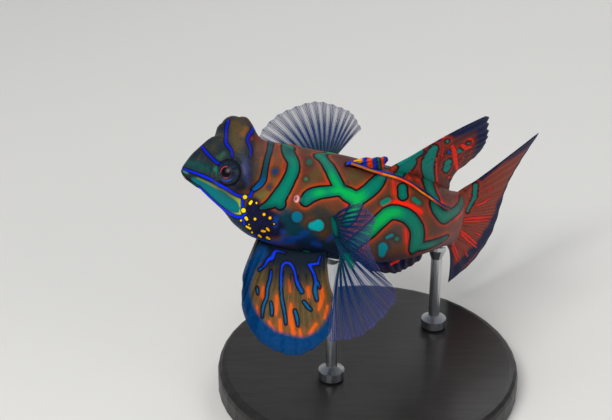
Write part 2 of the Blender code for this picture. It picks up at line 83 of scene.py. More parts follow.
MOUTH_CORNER = 2.2
MOUTH_LINE = (0.12, -0.08)
MOUTH_CUT = (0.34, 0.11)       # depth and spread of the line between the lips
CORNER_CUT = (0.12, 0.25)      # and of the fold behind the mouth's corner
CORNER_REACH = (1.8, 3.6)      # first and last station of that fold
CORNER_FADE = 0.8              # the fold comes and goes over this length
MOUTH_FADE = 0.5               # and the line between the lips ends over this one
LIP_HEIGHT = 0.2
LIP_SPREAD = 0.32
LIP_FADE = 0.6
NOSTRIL_AT = (3.0, 38)
NOSTRIL_RADIUS = 0.34
NOSTRIL_DEPTH = 0.42
GILL_AT = (13.9, 53)
GILL_RADIUS = 0.62
GILL_DEPTH = 0.5
GILL_STRETCH = np.array([1.5, 1, 1])    # the opening is shorter lengthwise
HOLLOW = 0.62                  # a hollow's spread, as a share of its opening's radius
RIM_HEIGHT = 0.2

# Fins, as in the part's source
PECTORAL_NEAR = dict(station=20, rays=18, bow=(-0.8, 0.5, 0.4), rows=(
    (18.4, 66, -1.2, 8.5, 8.4), (18.7, 73, 0.2, 8.8, 10.2), (19.0, 80, -0.4, 7.5, 12.2),
    (19.4, 88, 1.2, 6.1, 13.9), (19.9, 96, 3.7, 4.1, 14.6), (20.5, 104, 1.3, -0.5, 15.3),
    (21.2, 112, -2.4, -4.1, 13.2)))
PECTORAL_FAR = dict(station=20, rays=18, bow=(0.0, 0.4, 0.0), rows=(
    (20.2, 68, 6.5, -0.5, 10.4), (19.8, 73, 4.9, 0.9, 12.8), (19.4, 78, 1.3, 0.6, 14.6),
    (19.0, 83, -2.4, -1.6, 14.4), (18.6, 88, -4.9, -4.2, 11.7), (18.2, 94, -4.6, -5.4, 9.2)))
PELVIC = dict(station=15, rays=12, bow=(-0.2, -0.6, 0.2), rows=(
    (11.5, 148, -1.3, -1.6, 6.0), (13.2, 143, -2.3, -4.2, 8.3), (15.0, 138, -0.7, -6.9, 10.2),
    (16.7, 133, 1.2, -5.9, 12.0), (18.3, 127, 2.7, -3.4, 10.3), (19.8, 120, 0.6, -0.3, 7.0)))
DORSAL_FIRST = dict(station=22, rays=4, bow=(0.0, 0.2, 0.0), rows=(
    (19.4, 0, 1.8, 1.2, 0.2), (21.0, 0, 2.0, 1.6, 0.2), (22.6, 0, 1.5, 1.8, 0.1),
    (24.2, 0, 0.3, 1.5, 0.0)))
DORSAL_SECOND = dict(station=35, rays=9, bow=(-0.2, 0.5, 0.0), rows=(
    (25.9, 0, 12.6, 9.6, 4.8), (30.0, 0, 12.7, 7.4, 2.9), (34.0, 0, 11.5, 5.7, 1.9),
    (39.0, 0, 10.2, 4.1, -0.2), (44.5, 0, 7.2, 1.5, -3.1)))
ANAL = dict(station=34, rays=7, bow=(0.0, -0.4, 0.0), rows=(
    (27.5, 180, 3.0, -1.6, 0.0), (31.5, 180, 4.4, -2.2, -0.3), (36.0, 180, 4.6, -2.5, -1.8),
    (41.0, 180, 4.2, -1.8, -2.2)))
CAUDAL = dict(station=50, rays=12, bow=(-0.3, 0.3, 0.4), rows=(
    (3.4, 17.4, 10.7, 5.2), (2.2, 19.0, 6.6, 2.6), (0.8, 19.0, 3.2, 1.2),
    (-0.9, 18.6, -1.0, 0.7), (-2.5, 16.8, -4.6, -0.8), (-3.9, 13.2, -7.4, -3.2)))
FILAMENT_PATH = ((20.0, 2), (22.0, 9), (25.0, 17), (27.0, 27), (29.0, 38), (32.0, 52), (36.0, 62))
FILAMENT_LIFT = 0.38

# The fine grids
SKIN_SIDES = 240
NOSE_RINGS = 22
HEAD_RINGS = 132               # from the nose to where the head ends
HEAD_END = 14
BODY_RINGS = 228
FAR = 4.0                      # distances to strokes are kept up to this
STROKE_STEP = 1.2              # pixels between the points of a stroke's smooth curve
HIDE = 0.4                     # how much of a distance in space counts against one in the picture
HIDE_FOLDED = 0.05             # the same on the folded fin, which has nothing behind it
FIN_ROWS = 56
RAY_COLUMNS = 8                # columns of a fin's grid for each ray
BOW_TURN = 0.85                # a fin's bow rises and falls over this share of half a turn
SEAM = (16, 32)                # degrees past the back where the left side's markings take over
HEAD_SEAM = 26                 # on the head they do so this much further round
WAVES = 6                      # slow noise is a sum of this many waves
WAVE_TURN = 0.35               # which turn by about this much for each millimetre
FILAMENT_POINTS = 90
EYE_RINGS = 61
EYE_SIDES = 96

# The camera stands where the photograph was taken from
PHOTO_SIZE = (612, 420)
LOOK_DOWN = 28.0
CAMERA_OFF = 200.0             # from the point of the spine over the stand
PHOTO_SCALE = 7.75             # pixels for each millimetre at that point
OVER_STAND_PIXEL = (338, 207)  # where that point is in the photograph
SENSOR = 36.0
NEAR_CLIP = 0.005

# The room, in millimetres from the stand's underside
FLOOR_REACH = (-600, 260)      # from the front edge to where it starts to curve up
FLOOR_CURVE = 200
FLOOR_HALF = 900
WALL_TOP = 900
SKY = (0.82, 0.88, 1.0, 1.0)
SKY_STRENGTH = 0.26
LIT_POINT = (-4, -4, 28)
# Name, place, size and power
LAMPS = (("key", (-150, -260, 330), 220, 1.6), ("fill", (280, -220, 160), 260, 0.4),
         ("back", (120, 260, 260), 200, 0.3))


def tone(red, green, blue):
    """A colour as it looks on a screen, 0 to 255, made linear."""
    return tuple(((part / 255 + 0.055) / 1.055) ** 2.4 if part > 10 else part / 3294.6
                 for part in (red, green, blue))


GREEN = tone(0, 172, 76)
TEAL = tone(0, 118, 94)
DEEP_TEAL = tone(2, 70, 70)
DARK_TEAL = tone(16, 70, 68)
CYAN = tone(0, 168, 170)
BRIGHT_BLUE = tone(0, 36, 226)
INK = tone(12, 9, 16)
NAVY = tone(14, 24, 60)
SLATE = tone(34, 42, 50)
FLAME = tone(178, 66, 22)
SCARLET = tone(250, 36, 12)
RUST = tone(104, 58, 36)
BROWN = tone(92, 56, 38)
OLIVE = tone(80, 66, 38)
MAROON = tone(84, 32, 28)
EARTH = tone(78, 52, 38)
GOLD = tone(255, 222, 0)
LEMON = tone(206, 216, 24)
PINK = tone(226, 168, 168)


def along(keys, at):
    """A smooth curve through (place, value) keys that never overshoots them."""
    places = np.array([key[0] for key in keys], float)
    values = np.array([key[1] for key in keys], float)
    at = np.asarray(at, float)
    steps = np.diff(places)
    rises = np.diff(values) / steps
    slopes = np.zeros_like(values)
    product = rises[:-1] * rises[1:]
    total = np.where(product > 0, rises[:-1] + rises[1:], 1.0)
    slopes[1:-1] = np.where(product > 0, 2 * product / total, 0.0)
    slopes[0], slopes[-1] = rises[0], rises[-1]
    k = np.clip(np.searchsorted(places, at, side="right") - 1, 0, len(places) - 2)
    h = steps[k]
    t = np.clip((at - places[k]) / h, 0, 1)
    start = (2 * t**3 - 3 * t**2 + 1) * values[k] + (t**3 - 2 * t**2 + t) * h * slopes[k]
    return start + (3 * t**2 - 2 * t**3) * values[k + 1] + (t**3 - t**2) * h * slopes[k + 1]


def row_value(rows, column, share):
    """A column of rows that are spread evenly from 0 to 1, read at each share of the way."""
    places = np.linspace(0, 1, len(rows))
    return along(list(zip(places, [row[column] for row in rows])), share)


def unit(vector):
    return vector / np.maximum(np.linalg.norm(vector, axis=-1, keepdims=True), 1e-12)


def ease(value, low, high):
    """0 at low and 1 at high, with a soft start and end."""
    share = np.clip((value - low) / (high - low), 0, 1)
    return share * share * (3 - 2 * share)


def bump(distance, spread):
    return np.exp(-(distance / spread) ** 2)


def heading(station):
    yaw, pitch = np.radians(along(YAW, station)), np.radians(along(PITCH, station))
    return np.stack([np.cos(yaw) * np.cos(pitch), np.sin(yaw) * np.cos(pitch), -np.sin(pitch)], -1)


def spine_points():
    """The spine's places, added up step by step from its heading."""
    stations = np.arange(0, BODY_LENGTH + SPINE_STEP / 2, SPINE_STEP)
    steps = heading((stations[:-1] + stations[1:]) / 2) * SPINE_STEP
    points = np.concatenate([[np.zeros(3)], np.cumsum(steps, axis=0)])
    reference = [np.interp(OVER_STAND, stations, points[:, k]) for k in range(3)]
    return stations, points - reference + np.array(OVER_STAND_AT)


SPINE_STATIONS, SPINE_POINTS = spine_points()


def body_frame(station):
    """The spine's point and its aft, up and left directions."""
    station = np.asarray(station, float)
    aft = heading(station)
    point = np.stack([np.interp(station, SPINE_STATIONS, SPINE_POINTS[:, k]) for k in range(3)], -1)
    past = station - np.clip(station, 0, BODY_LENGTH)
    point = point + past[..., None] * aft
    level = unit(np.array([0, 0, 1.0]) - aft[..., 2:3] * aft)
    side = np.cross(aft, level)
    roll = np.radians(along(BANK, station))[..., None]
    up = np.cos(roll) * level + np.sin(roll) * side
    left = np.cos(roll) * side - np.sin(roll) * level
    return point, aft, up, left


def smooth_least(a, b, blend):
    share = np.clip(0.5 + 0.5 * (b - a) / blend, 0, 1)
    return b * (1 - share) + a * share - blend * share * (1 - share)


def nose_scale(station):
    """Rounds the sections off over the snout's first stretch."""
    short = np.clip(1 - station / NOSE_ROUND, 0, 1)
    return np.sqrt(np.maximum(1 - short**2, 1e-6))


def plain_radius(station, angle):
    """Radius of the section with the eye mounds blended in."""
    narrow = 1 - TAIL_NARROWING * np.clip((station - BODY_LENGTH + TAIL_ROUND) / TAIL_ROUND, 0, 1) ** 2
    half = along(WIDTH, station) * np.sqrt(narrow)
    tall = np.where(np.cos(angle) > 0, along(BACK, station), along(BELLY, station))
    spread = (np.abs(np.sin(angle)) / half) ** SECTION_POWER
    rise = (np.abs(np.cos(angle)) / tall) ** SECTION_POWER
    section = (spread + rise) ** (-1 / SECTION_POWER) * nose_scale(station)
    low, high = section * 0.8, section + 2 * DOME_RADIUS
    for _ in range(HALVINGS):
        radius = (low + high) / 2
        side, up = radius * np.sin(angle), radius * np.cos(angle)
        from_dome = np.sqrt((station - DOME_AT[0]) ** 2 + (np.abs(side) - DOME_AT[1]) ** 2
                            + (up - DOME_AT[2]) ** 2) - DOME_RADIUS
        outside = smooth_least(radius - section, from_dome, DOME_BLEND) > 0
        high = np.where(outside, radius, high)
        low = np.where(outside, low, radius)
    return radius


def in_space(station, aft, up, left):
    """A way given as aft, up and left at a station, as a way in space."""
    _, aft_way, up_way, left_way = body_frame(float(station))
    parts = [np.asarray(part)[..., None] for part in (aft, up, left)]
    return parts[0] * aft_way + parts[1] * up_way + parts[2] * left_way


def eye_centre():
    """(station, side, up) of the left eye's centre."""
    return np.array(DOME_AT) + EYE_OUT * unit(np.array(GAZE))


def gaze_way(side):
    """The way an eye looks, for side 1, the left, or -1, the right."""
    return unit(in_space(eye_centre()[0], GAZE[0], GAZE[2], side * GAZE[1]))


def from_gaze(place):
    """How far a place (station, side, up) is ahead of the eye, and off the gaze's axis."""
    from_eye = place - eye_centre()
    ahead = from_eye @ unit(np.array(GAZE))
    return ahead, np.sqrt(np.maximum((from_eye**2).sum(-1) - ahead**2, 0))


def opening_centre(at, degrees):
    turn = math.radians(degrees)
    radius = float(plain_radius(np.array(float(at)), np.array(turn)))
    return np.array([at, radius * math.sin(turn), radius * math.cos(turn)])


def skin_radius(station, angle):
    """Radius of the section with the lips, lids and rims of the openings raised on it."""
    radius = plain_radius(station, angle)
    place = np.stack([station, np.abs(radius * np.sin(angle)), radius * np.cos(angle)], -1)
    ahead, off_axis = from_gaze(place)
    lid = LID_HEIGHT * bump(off_axis - EYE_RADIUS - GAP, LID_WIDTH) * (ahead > -0.5)
    mouth = MOUTH_LINE[0] + MOUTH_LINE[1] * station
    fade = np.clip(1 - (station - MOUTH_CORNER) / LIP_FADE, 0, 1)
    lip = LIP_HEIGHT * bump(np.abs(place[..., 2] - mouth) - LIP_SPREAD, LIP_SPREAD) * fade
    lip = lip * np.clip(station / NOSE_ROUND, 0, 1)
    openings = 0
    for (at, degrees), size in ((NOSTRIL_AT, NOSTRIL_RADIUS), (GILL_AT, GILL_RADIUS)):
        distance = np.sqrt(((place - opening_centre(at, degrees)) ** 2).sum(-1))
        openings = openings + RIM_HEIGHT * bump(distance - size, size * 0.5)
    return radius + lid + lip + openings


def surface(station, angle):
    point, _, up, left = body_frame(station)
    radius = skin_radius(station, angle)[..., None]
    return point + radius * (np.sin(angle)[..., None] * left + np.cos(angle)[..., None] * up)


def skin_place(station, degrees, lift=0.0):
    """The point on the skin, lifted off it by so much, and the skin's outward direction there."""
    station, degrees = np.broadcast_arrays(np.asarray(station, float), np.asarray(degrees, float))
    turn = np.radians(degrees)
    small_step, small_turn = 0.05, math.radians(1)
    lengthwise = surface(station + small_step, turn) - surface(station - small_step, turn)
    around = surface(station, turn + small_turn) - surface(station, turn - small_turn)
    out = unit(np.cross(lengthwise, around))
    _, _, up, left = body_frame(station)
    radial = np.sin(turn)[..., None] * left + np.cos(turn)[..., None] * up
    out = out * np.sign((out * radial).sum(-1, keepdims=True))
    return surface(station, turn) + lift * out, out


def body_place(station, side, up):
    point, _, up_way, left_way = body_frame(station)
    return point + side * left_way + up * up_way


# The camera, and the line of sight through a pixel of the photograph
SIGHT_UP = np.array([0, math.sin(math.radians(LOOK_DOWN)), math.cos(math.radians(LOOK_DOWN))])
SIGHT_BACK = np.array([0, -math.cos(math.radians(LOOK_DOWN)), math.sin(math.radians(LOOK_DOWN))])
SIGHT_RIGHT = np.array([1.0, 0, 0])
FOCAL_PIXELS = PHOTO_SCALE * CAMERA_OFF
CAMERA_AT = (np.array(OVER_STAND_AT) + CAMERA_OFF * SIGHT_BACK
             - (OVER_STAND_PIXEL[0] - PHOTO_SIZE[0] / 2) / PHOTO_SCALE * SIGHT_RIGHT
             - (PHOTO_SIZE[1] / 2 - OVER_STAND_PIXEL[1]) / PHOTO_SCALE * SIGHT_UP)


def sight(pixel):
    """The direction from the camera through a pixel."""
    across = (pixel[0] - PHOTO_SIZE[0] / 2) / FOCAL_PIXELS
    upward = (PHOTO_SIZE[1] / 2 - pixel[1]) / FOCAL_PIXELS
    return unit(across * SIGHT_RIGHT + upward * SIGHT_UP - SIGHT_BACK)


def pictured(points):
    """Where points fall in the photograph, in pixels."""
    away = points - CAMERA_AT
    depth = -(away @ SIGHT_BACK)
    across = PHOTO_SIZE[0] / 2 + FOCAL_PIXELS * (away @ SIGHT_RIGHT) / depth
    down = PHOTO_SIZE[1] / 2 - FOCAL_PIXELS * (away @ SIGHT_UP) / depth
    return np.stack([across, down], -1)


def make_camera():
    lens = bpy.data.cameras.new("camera")
    lens.sensor_width = SENSOR
    lens.lens = FOCAL_PIXELS / PHOTO_SIZE[0] * lens.sensor_width
    lens.clip_start = NEAR_CLIP
    camera = bpy.data.objects.new("camera", lens)
    bpy.context.scene.collection.objects.link(camera)
    camera.location = Vector(CAMERA_AT * MM)
    camera.rotation_euler = (math.radians(90 - LOOK_DOWN), 0, 0)
    bpy.context.scene.camera = camera


make_camera()


class Sheet:
    """A grid of points, rows by columns, that strokes are laid on. A round one closes on itself."""

    def __init__(self, grid, closed, hide=HIDE):
        self.grid = grid
        self.hide = hide
        self.points = grid.reshape(-1, 3)
        rows, columns = grid.shape[:2]
        self.faces = grid_faces(rows, columns, closed)
        self.tree = BVHTree.FromPolygons(self.points.tolist(), self.faces)
        self.pixels = pictured(self.points)

    def under(self, pixel):
        """The point seen at a pixel of the photograph, or the nearest one to its line of sight."""
        ray = Vector(sight(pixel))
        start = Vector(CAMERA_AT)
        hit = self.tree.ray_cast(start, ray)[0]
        if hit is None:
            spot = start + ray * CAMERA_OFF
            for _ in range(4):
                hit = self.tree.find_nearest(spot)[0]
                spot = start + ray * (hit - start).dot(ray)
        return np.array(hit)

    def seen(self, strokes):
        """Strokes given by pixels, as pixels, places in space, and half widths in millimetres."""
        laid = []
        for stroke in strokes:
            keys = eased(stroke)
            spots = np.array([self.under(key[:2]) for key in keys])
            laid.append((keys[:, :2], spots, keys[:, 2] / PHOTO_SCALE))
        return laid

    def marked(self, strokes):
        """Each point's distance to strokes given by pixels."""
        return self.distance(self.seen(strokes))

    def distance(self, laid):
        """Each point's distance to the edge of the nearest stroke, below nought inside it.

        A stroke seen in the photograph has its width there, so it is measured in the picture,
        and in space only as far as keeps it off what lies behind.
        """
        best = np.full(len(self.points), FAR)
        for pixels, spots, halves in laid:
            inside = within(self.points, spots, halves.max() + (FAR if pixels is None else 2 * FAR))
            if pixels is not None:
                inside &= within(self.pixels, pixels, (halves.max() + FAR) * PHOTO_SCALE)
            near = np.nonzero(inside)[0]
            place, seen = self.points[near], self.pixels[near]
            found = np.full(len(near), FAR)
            for k in range(max(1, len(spots) - 1)):
                m = min(k + 1, len(spots) - 1)
                if pixels is None:
                    share = nearest_share(place, spots[k], spots[m])
                    off = off_line(place, spots[k], spots[m], share)
                else:
                    share = nearest_share(seen, pixels[k], pixels[m])
                    off = np.maximum(off_line(seen, pixels[k], pixels[m], share) / PHOTO_SCALE,
                                     self.hide * off_line(place, spots[k], spots[m], share))
                found = np.minimum(found, off - halves[k] - (halves[m] - halves[k]) * share)
            best[near] = np.minimum(best[near], found)
        return best.reshape(self.grid.shape[:2])


def within(places, spots, margin):
    return ((places > spots.min(0) - margin) & (places < spots.max(0) + margin)).all(1)


def nearest_share(place, start, end):
    """How far along the line from start to end each place comes nearest to it, 0 to 1."""
    way = end - start
    return np.clip((place - start) @ way / max(way @ way, 1e-9), 0, 1)


def off_line(place, start, end, share):
    """How far each place is from the point at its own share of the line."""
    return np.linalg.norm(place - start - share[:, None] * (end - start), axis=1)


def grid_faces(rows, columns, closed):
    faces = []
    for i in range(rows - 1):
        for j in range(columns if closed else columns - 1):
            k = (j + 1) % columns
            low, high = i * columns, (i + 1) * columns
            faces.append((low + j, low + k, high + k, high + j))
    return faces


def end_faces(rows, columns):
    """Faces that close a round grid's ends, each round one of the two points that follow its own."""
    faces = []
    tip = rows * columns
    last = tip - columns
    for j in range(columns):
        k = (j + 1) % columns
        faces += [(tip, k, j), (tip + 1, last + j, last + k)]
    return faces


def eased(stroke):
    """A stroke's keys with more between them, on a smooth curve through them."""
    keys = np.array(stroke, float)
    if len(keys) < 3:
        return keys
    ends = np.concatenate([[2 * keys[0] - keys[1]], keys, [2 * keys[-1] - keys[-2]]])
    found = [keys[0]]
    for before, a, b, after in zip(ends, ends[1:], ends[2:], ends[3:]):
        count = max(1, round(float(np.linalg.norm((b - a)[:2])) / STROKE_STEP))
        for t in np.arange(1, count + 1) / count:
            square = (2 * before - 5 * a + 4 * b - after) * t**2
            cube = (3 * a - before - 3 * b + after) * t**3
            found.append(0.5 * (2 * a + (b - before) * t + square + cube))
    return np.array(found)


# Markings on the body: strokes of (pixel across, pixel down, half width in pixels)
BANDS = (
    ((288, 139, 5), (287, 147, 5), (289, 154, 5), (293, 162, 5), (293, 170, 5.5), (289, 180, 5.5),
     (284, 189, 6), (278, 198, 6.5), (270, 204, 4), (261, 208, 1.6)),
    ((279, 200, 6), (280, 204, 5)), ((320, 148, 4.5), (320, 154, 5.5)),
    ((320, 154, 4), (325, 162, 3.6), (330, 169, 4.6), (335, 179, 5), (340, 188, 5)),
    ((341, 190, 5), (330, 191.5, 5), (320, 192.5, 5.4), (311, 195.5, 6), (305.5, 200.5, 5)),
    ((341, 190, 5), (349, 195, 6.5), (357, 198, 6.5), (366, 193, 6.5), (374, 186, 6.5),
     (379, 180, 5.5), (382, 176, 4)),
    ((358, 200, 5.5), (355, 208, 5), (351, 216, 5.5), (346, 223, 4)),
    ((349, 254, 3), (353, 245, 5.5), (364, 236, 6), (374, 227, 6), (382, 219, 6.4), (390, 213, 6.6),
     (399, 213, 6.6), (408, 217, 6.6), (415, 225, 6.4), (417.5, 234, 6.2), (416, 244, 5.8),
     (413, 250, 3.4)),
    ((416, 247, 3.6), (425, 246, 3.2), (434, 243.5, 3), (441, 240.5, 2.6), (447, 237, 1.6)),
    ((402.5, 188, 4), (403, 195.5, 4.2)),
    ((455, 182, 1.2), (459, 187, 2.4), (462, 194, 3), (461.5, 202, 3), (458, 209, 3.4), (451, 214, 4),
     (444, 217, 5.8)),
    ((433, 203, 2.6), (437, 210, 4.2), (443, 217, 5)),
)
# Spots that stand alone, soft at the edge
SPOTS = (
    ((297, 217, 5.6),), ((312, 226, 4), (318, 225.5, 6)), ((383, 247.5, 5), (382, 254, 3.4)),
    ((387, 237.5, 1.7), (392, 235, 1.7)), ((397, 239, 2),), ((383, 203, 3), (388, 200.2, 3)),
    ((414, 199, 2.4), (419, 203, 2.2)), ((309.5, 162, 3.2),), ((306, 179, 1.9),), ((346, 184, 1.2),),
    ((275, 171.5, 3.6),), ((270, 187, 2),),
)
# These run from the back on to the second dorsal fin
BACK_BANDS = (
    ((434, 148, 3.5), (430, 156, 5), (427, 165, 6), (427.5, 175, 5.2), (429, 185, 4.6),
     (433, 195, 3.8), (436, 200, 3)),
    ((399, 174, 4), (402, 169, 4.6), (409, 164.5, 2.4)), ((387, 165, 3),),
)
# Station and angle on the body, half width in millimetres, where the photograph shows nothing
HIDDEN_BANDS = (
    ((17.5, 126, 0.5), (18.5, 140, 0.55), (20.0, 152, 0.5)),
    ((24.0, 150, 0.5), (28.0, 158, 0.6), (31.5, 150, 0.5)), ((35.0, 158, 0.4), (38.5, 164, 0.4)),
    ((22.0, 172, 0.35),), ((26.0, 168, 0.4),), ((13.0, 160, 0.45), (15.0, 168, 0.4)),
)
# Blue lines on the head, fainter ones low on the body, and the band behind the eye
HEAD_BLUES = (
    ((200, 142, 1.1), (203, 148, 1.4), (207, 153, 1.4), (211, 157, 1.3), (215, 161, 1.5),
     (218, 163, 1.4), (221, 163.5, 1)),
    ((228.5, 119, 1.3), (226.5, 128, 1.3), (226, 136, 1.3), (226, 143, 1.4), (229, 147, 1.4),
     (231.5, 151, 1.3), (232.5, 157, 0.9)),
    ((251, 118, 1.3), (253.5, 125, 1.7), (252, 131, 1.6), (248.5, 136, 1.6), (247.5, 141, 1.3),
     (250, 147, 1.4), (251, 152, 1.2), (250, 157, 0.8)),
    ((184, 168.5, 0.7), (190, 171, 1), (202, 175.5, 1.2), (211, 179.5, 1.3), (220, 185, 1.3),
     (228, 189.5, 1.4), (236, 194.5, 1.4), (244, 196.5, 1.4), (250, 196, 1.2), (252, 191.5, 1)),
    ((199, 187, 0.9), (205, 193, 1.2), (212, 200, 1.3), (220, 207, 1.3), (228, 212.5, 1.3),
     (236, 216.5, 1.4), (243, 217, 1.4)),
    ((243.5, 197, 1.2), (242.5, 203, 1.1), (243, 210, 1), (244, 217, 1.3)),
    ((243, 217, 1.2), (244, 224, 1.2)), ((245, 214, 0.9), (247, 213, 0.7)),
)
FAINT_BLUES = (
    ((302, 233, 2), (309, 230.5, 1.6)), ((283, 232, 2.6),), ((276, 219, 2.6), (275, 226, 1.6)),
    ((313, 243, 2), (320, 245, 1.6)), ((282, 238, 1.4), (296, 237.5, 1.8), (308, 233, 1.4)),
    ((328, 240, 1.6), (336, 233, 2.2), (340, 226, 1.4)),
    ((250, 235, 1.6), (262, 240, 2), (278, 242.5, 2.2), (294, 241, 1.8)),
)
NECK_BLUES = (
    ((270.5, 134, 2.4), (271, 142, 2.6), (269.5, 151, 2.2), (267, 160, 2.2), (265, 170, 2.4),
     (263, 180, 2.8), (258, 186, 2.6), (253, 190, 1.6)),
)
# Yellow spots on the gill cover, red marks between the bands, and thin red lines on the stalk
GOLD_SPOTS = (
    ((245, 197, 2.2),), ((250, 203.5, 1.5), (251.5, 201.5, 1.3)), ((256.5, 203, 1.2),),
    ((243.5, 210.5, 2.4),), ((246, 218, 1.6), (247, 219.5, 1.3)), ((255, 219, 1.5),),
    ((264, 214.5, 1.6),), ((270, 218, 1.6),), ((241, 220.5, 1.1),),
    ((246.5, 226.5, 1), (250, 228.5, 1.1)), ((249, 224.5, 0.8),), ((267, 228.5, 1.2), (269, 230.5, 1)),
    ((262, 231, 1.2), (265, 231.5, 1)), ((259, 235.5, 1.2), (261, 237, 1)),
    ((267, 237.5, 1.3), (269.5, 239, 1)), ((252, 232.5, 1),), ((274, 224, 0.9),),
)
RED_MARKS = (
    ((384, 206, 1.4), (391, 202.5, 2), (400, 203.5, 2.6), (409, 206, 2.8), (416, 208.5, 2.8),
     (421, 212, 1.8)),
    ((409, 170, 1.3), (409.5, 178, 1.2)), ((415, 168, 1.2), (418, 180, 1.2)),
    ((438, 164, 1.2), (435, 172, 1.3), (433.5, 182, 1.4), (435.5, 192, 1.3), (440, 200, 1.1),
     (447, 206.5, 1)),
    ((360, 189.5, 2.4),), ((329, 181, 1.6),), ((329, 153, 1.6),),
    ((405.5, 230, 0.9), (406.5, 242, 0.9)), ((347, 204, 1.4),), ((393, 180, 0.8), (394, 194, 0.8)),
    ((456, 218, 1), (462, 212, 1)),
)
SWIRL = (
    ((447, 181, 0.6), (453, 186, 0.7), (456, 194, 0.7), (453.5, 203, 0.6)),
    ((441, 184, 0.6), (440, 193, 0.7), (444, 201, 0.6), (450, 203, 0.5)),
    ((447, 187, 0.5), (450, 192, 0.6), (448, 198, 0.6), (445, 195, 0.5), (446, 191, 0.4)),
    ((463, 184, 0.6), (466, 192, 0.7), (466, 202, 0.7), (462, 209, 0.6)),
)
# The turquoise cheek with its yellow fringe, and the dark gill cover behind it
CHEEK = (
    ((194, 180, 2), (202, 185, 4), (210, 190.5, 6), (220, 198, 7.5), (230, 204.5, 8), (237, 207, 7)),
)
FRINGE = (
    ((197, 178, 0.6), (207, 182.5, 0.9), (215, 187, 1.1), (223, 190.5, 1.2), (229, 194.5, 1.3),
     (236, 198.5, 1.8), (239.8, 202, 2), (240.5, 206, 1.2)),
    ((241, 210.5, 1.5), (239.5, 214, 1.5), (233, 213.5, 0.8), (226, 210, 0.5)),
)
COVER = (((254, 204, 6), (253, 212, 9), (257, 222, 12), (262, 232, 10)), ((268, 215, 6), (275, 228, 9)))
# Where the ground is dark and calm, with no orange round the bands
CALM = (
    ((280, 209, 6), (287, 211, 5)),
    ((258, 214, 9), (272, 228, 14), (292, 236, 17), (318, 246, 17), (342, 254, 15)), ((240, 180, 24),),
    ((208, 176, 30),), ((236, 140, 24),), ((258, 160, 7), (255, 180, 7)),
)
# Soft washes of colour on the body, some of them painted sheen and painted shade: colour, softness in
# millimetres, strokes
WASHES = (
    (SLATE, 1.6, (((186, 164, 26), (205, 160, 32), (232, 146, 30), (236, 172, 20)),)),
    (tone(22, 26, 36), 1.4,
     (((186, 152, 4), (197, 145, 4), (211, 134, 4), (222, 123, 4), (240, 116, 4)),)),
    (DARK_TEAL, 1.3, (((186, 162, 3), (196, 165, 4.5), (208, 169, 4)),)),
    (tone(48, 52, 42), 1.0, (((207, 151, 3), (213, 148, 4)), ((217, 140, 4),))),
    (tone(62, 108, 72), 0.8, (((219, 158, 2), (224, 154, 1.5)),)),
    (OLIVE, 1.2, (((236, 126, 7), (238, 138, 8), (236, 148, 4)),)),
    (tone(132, 82, 34), 0.9, (((246, 129, 2.5), (243, 134, 2)),)),
    (BROWN, 1.0, (((261, 140, 6), (259, 155, 5.5), (257, 170, 4.5), (254, 182, 3)),)),
    (tone(70, 84, 84), 1.0, (((255.5, 164, 1.4), (255.5, 176, 1.4)),)),
    (tone(112, 42, 38), 0.8, (((257, 137, 3), (262, 140, 3)), ((264, 148, 1.6),))),
    (tone(190, 46, 48), 0.5, (((251.5, 138.5, 1.2),),)),
    (tone(128, 72, 44), 0.6, (((261.5, 158, 1), (260, 170, 1.2), (257, 181, 1)),)),
    (tone(24, 26, 42), 1.2, (((232, 172, 11), (239, 185, 6)), ((252, 190, 2.5),))),
    # painted reflection: a violet-blue sheen on the skin behind the eye, then a paler painted highlight
    # within it
    (tone(58, 72, 118), 1.1, (((245, 160, 1.6), (247, 168, 2.4), (247, 177, 2), (248, 183, 1.5)),)),
    (tone(92, 84, 132), 0.7, (((243.5, 165, 1), (245.5, 173, 0.8)),)),
    (tone(28, 150, 118), 0.6, (((216.5, 168, 1.2), (218, 173, 1.7), (219.5, 177.5, 1.2)),)),
    (tone(60, 130, 140), 0.5, (((184, 171, 1.6), (187, 172.5, 1.2)),)),
    (tone(114, 66, 36), 1.0, (((277, 156, 4), (274, 170, 6), (269, 184, 4.5)),)),
    (tone(160, 64, 24), 0.7,
     (((272.5, 158, 1), (270, 169, 1.8), (268, 180, 1.2)), ((283, 162, 1.2), (280, 176, 1)))),
    (tone(104, 80, 46), 0.9, (((276, 180, 2.4), (271, 186, 2)),)),
    (tone(98, 94, 44), 0.9, (((258, 197, 3.6), (266, 194, 4)),)),
    (MAROON, 1.2,
     (((276, 141, 4), (283, 143, 4)), ((300, 147, 5), (312, 150, 4)), ((336, 155, 5), (344, 156, 4)))),
    (tone(58, 54, 42), 1.6, (((305, 214, 5), (322, 210, 4), (332, 226, 5)),)),
    (tone(80, 62, 56), 1.4, (((374, 252, 7), (384, 244, 9), (398, 232, 9)),)),
    (tone(52, 52, 48), 1.4, (((318, 214, 5), (332, 220, 5), (332, 236, 5)),)),
    (tone(92, 68, 40), 1.2, (((318, 172, 6), (308, 184, 5)), ((352, 176, 8), (362, 180, 6)))),
    (tone(2, 84, 82), 1.0, (((281, 207, 4), (286, 210, 3)),)),
    (tone(4, 54, 66), 1.4,
     (((270, 213, 4), (285, 217, 8), (292, 228, 10), (310, 237, 7)), ((340, 228, 5), (344, 240, 4)))),
    # near-black navy low on the belly: painted shade over its own dark blue
    (tone(14, 38, 50), 1.4, (((322, 243, 5), (334, 246, 6), (344, 252, 6)),)),
    (tone(4, 40, 78), 1.2, (((286, 240, 4), (302, 242, 5), (314, 240, 5)),)),
    # painted shade: the darkest navy along the belly's underside
    (tone(12, 28, 50), 2.0, (((250, 248, 8), (285, 252, 12), (318, 254, 12), (338, 260, 12)),)),
    (tone(8, 44, 70), 1.0,
     (((214, 209, 6), (226, 217, 7), (236, 223, 8), (244, 230, 7), (254, 239, 6)),)),
)
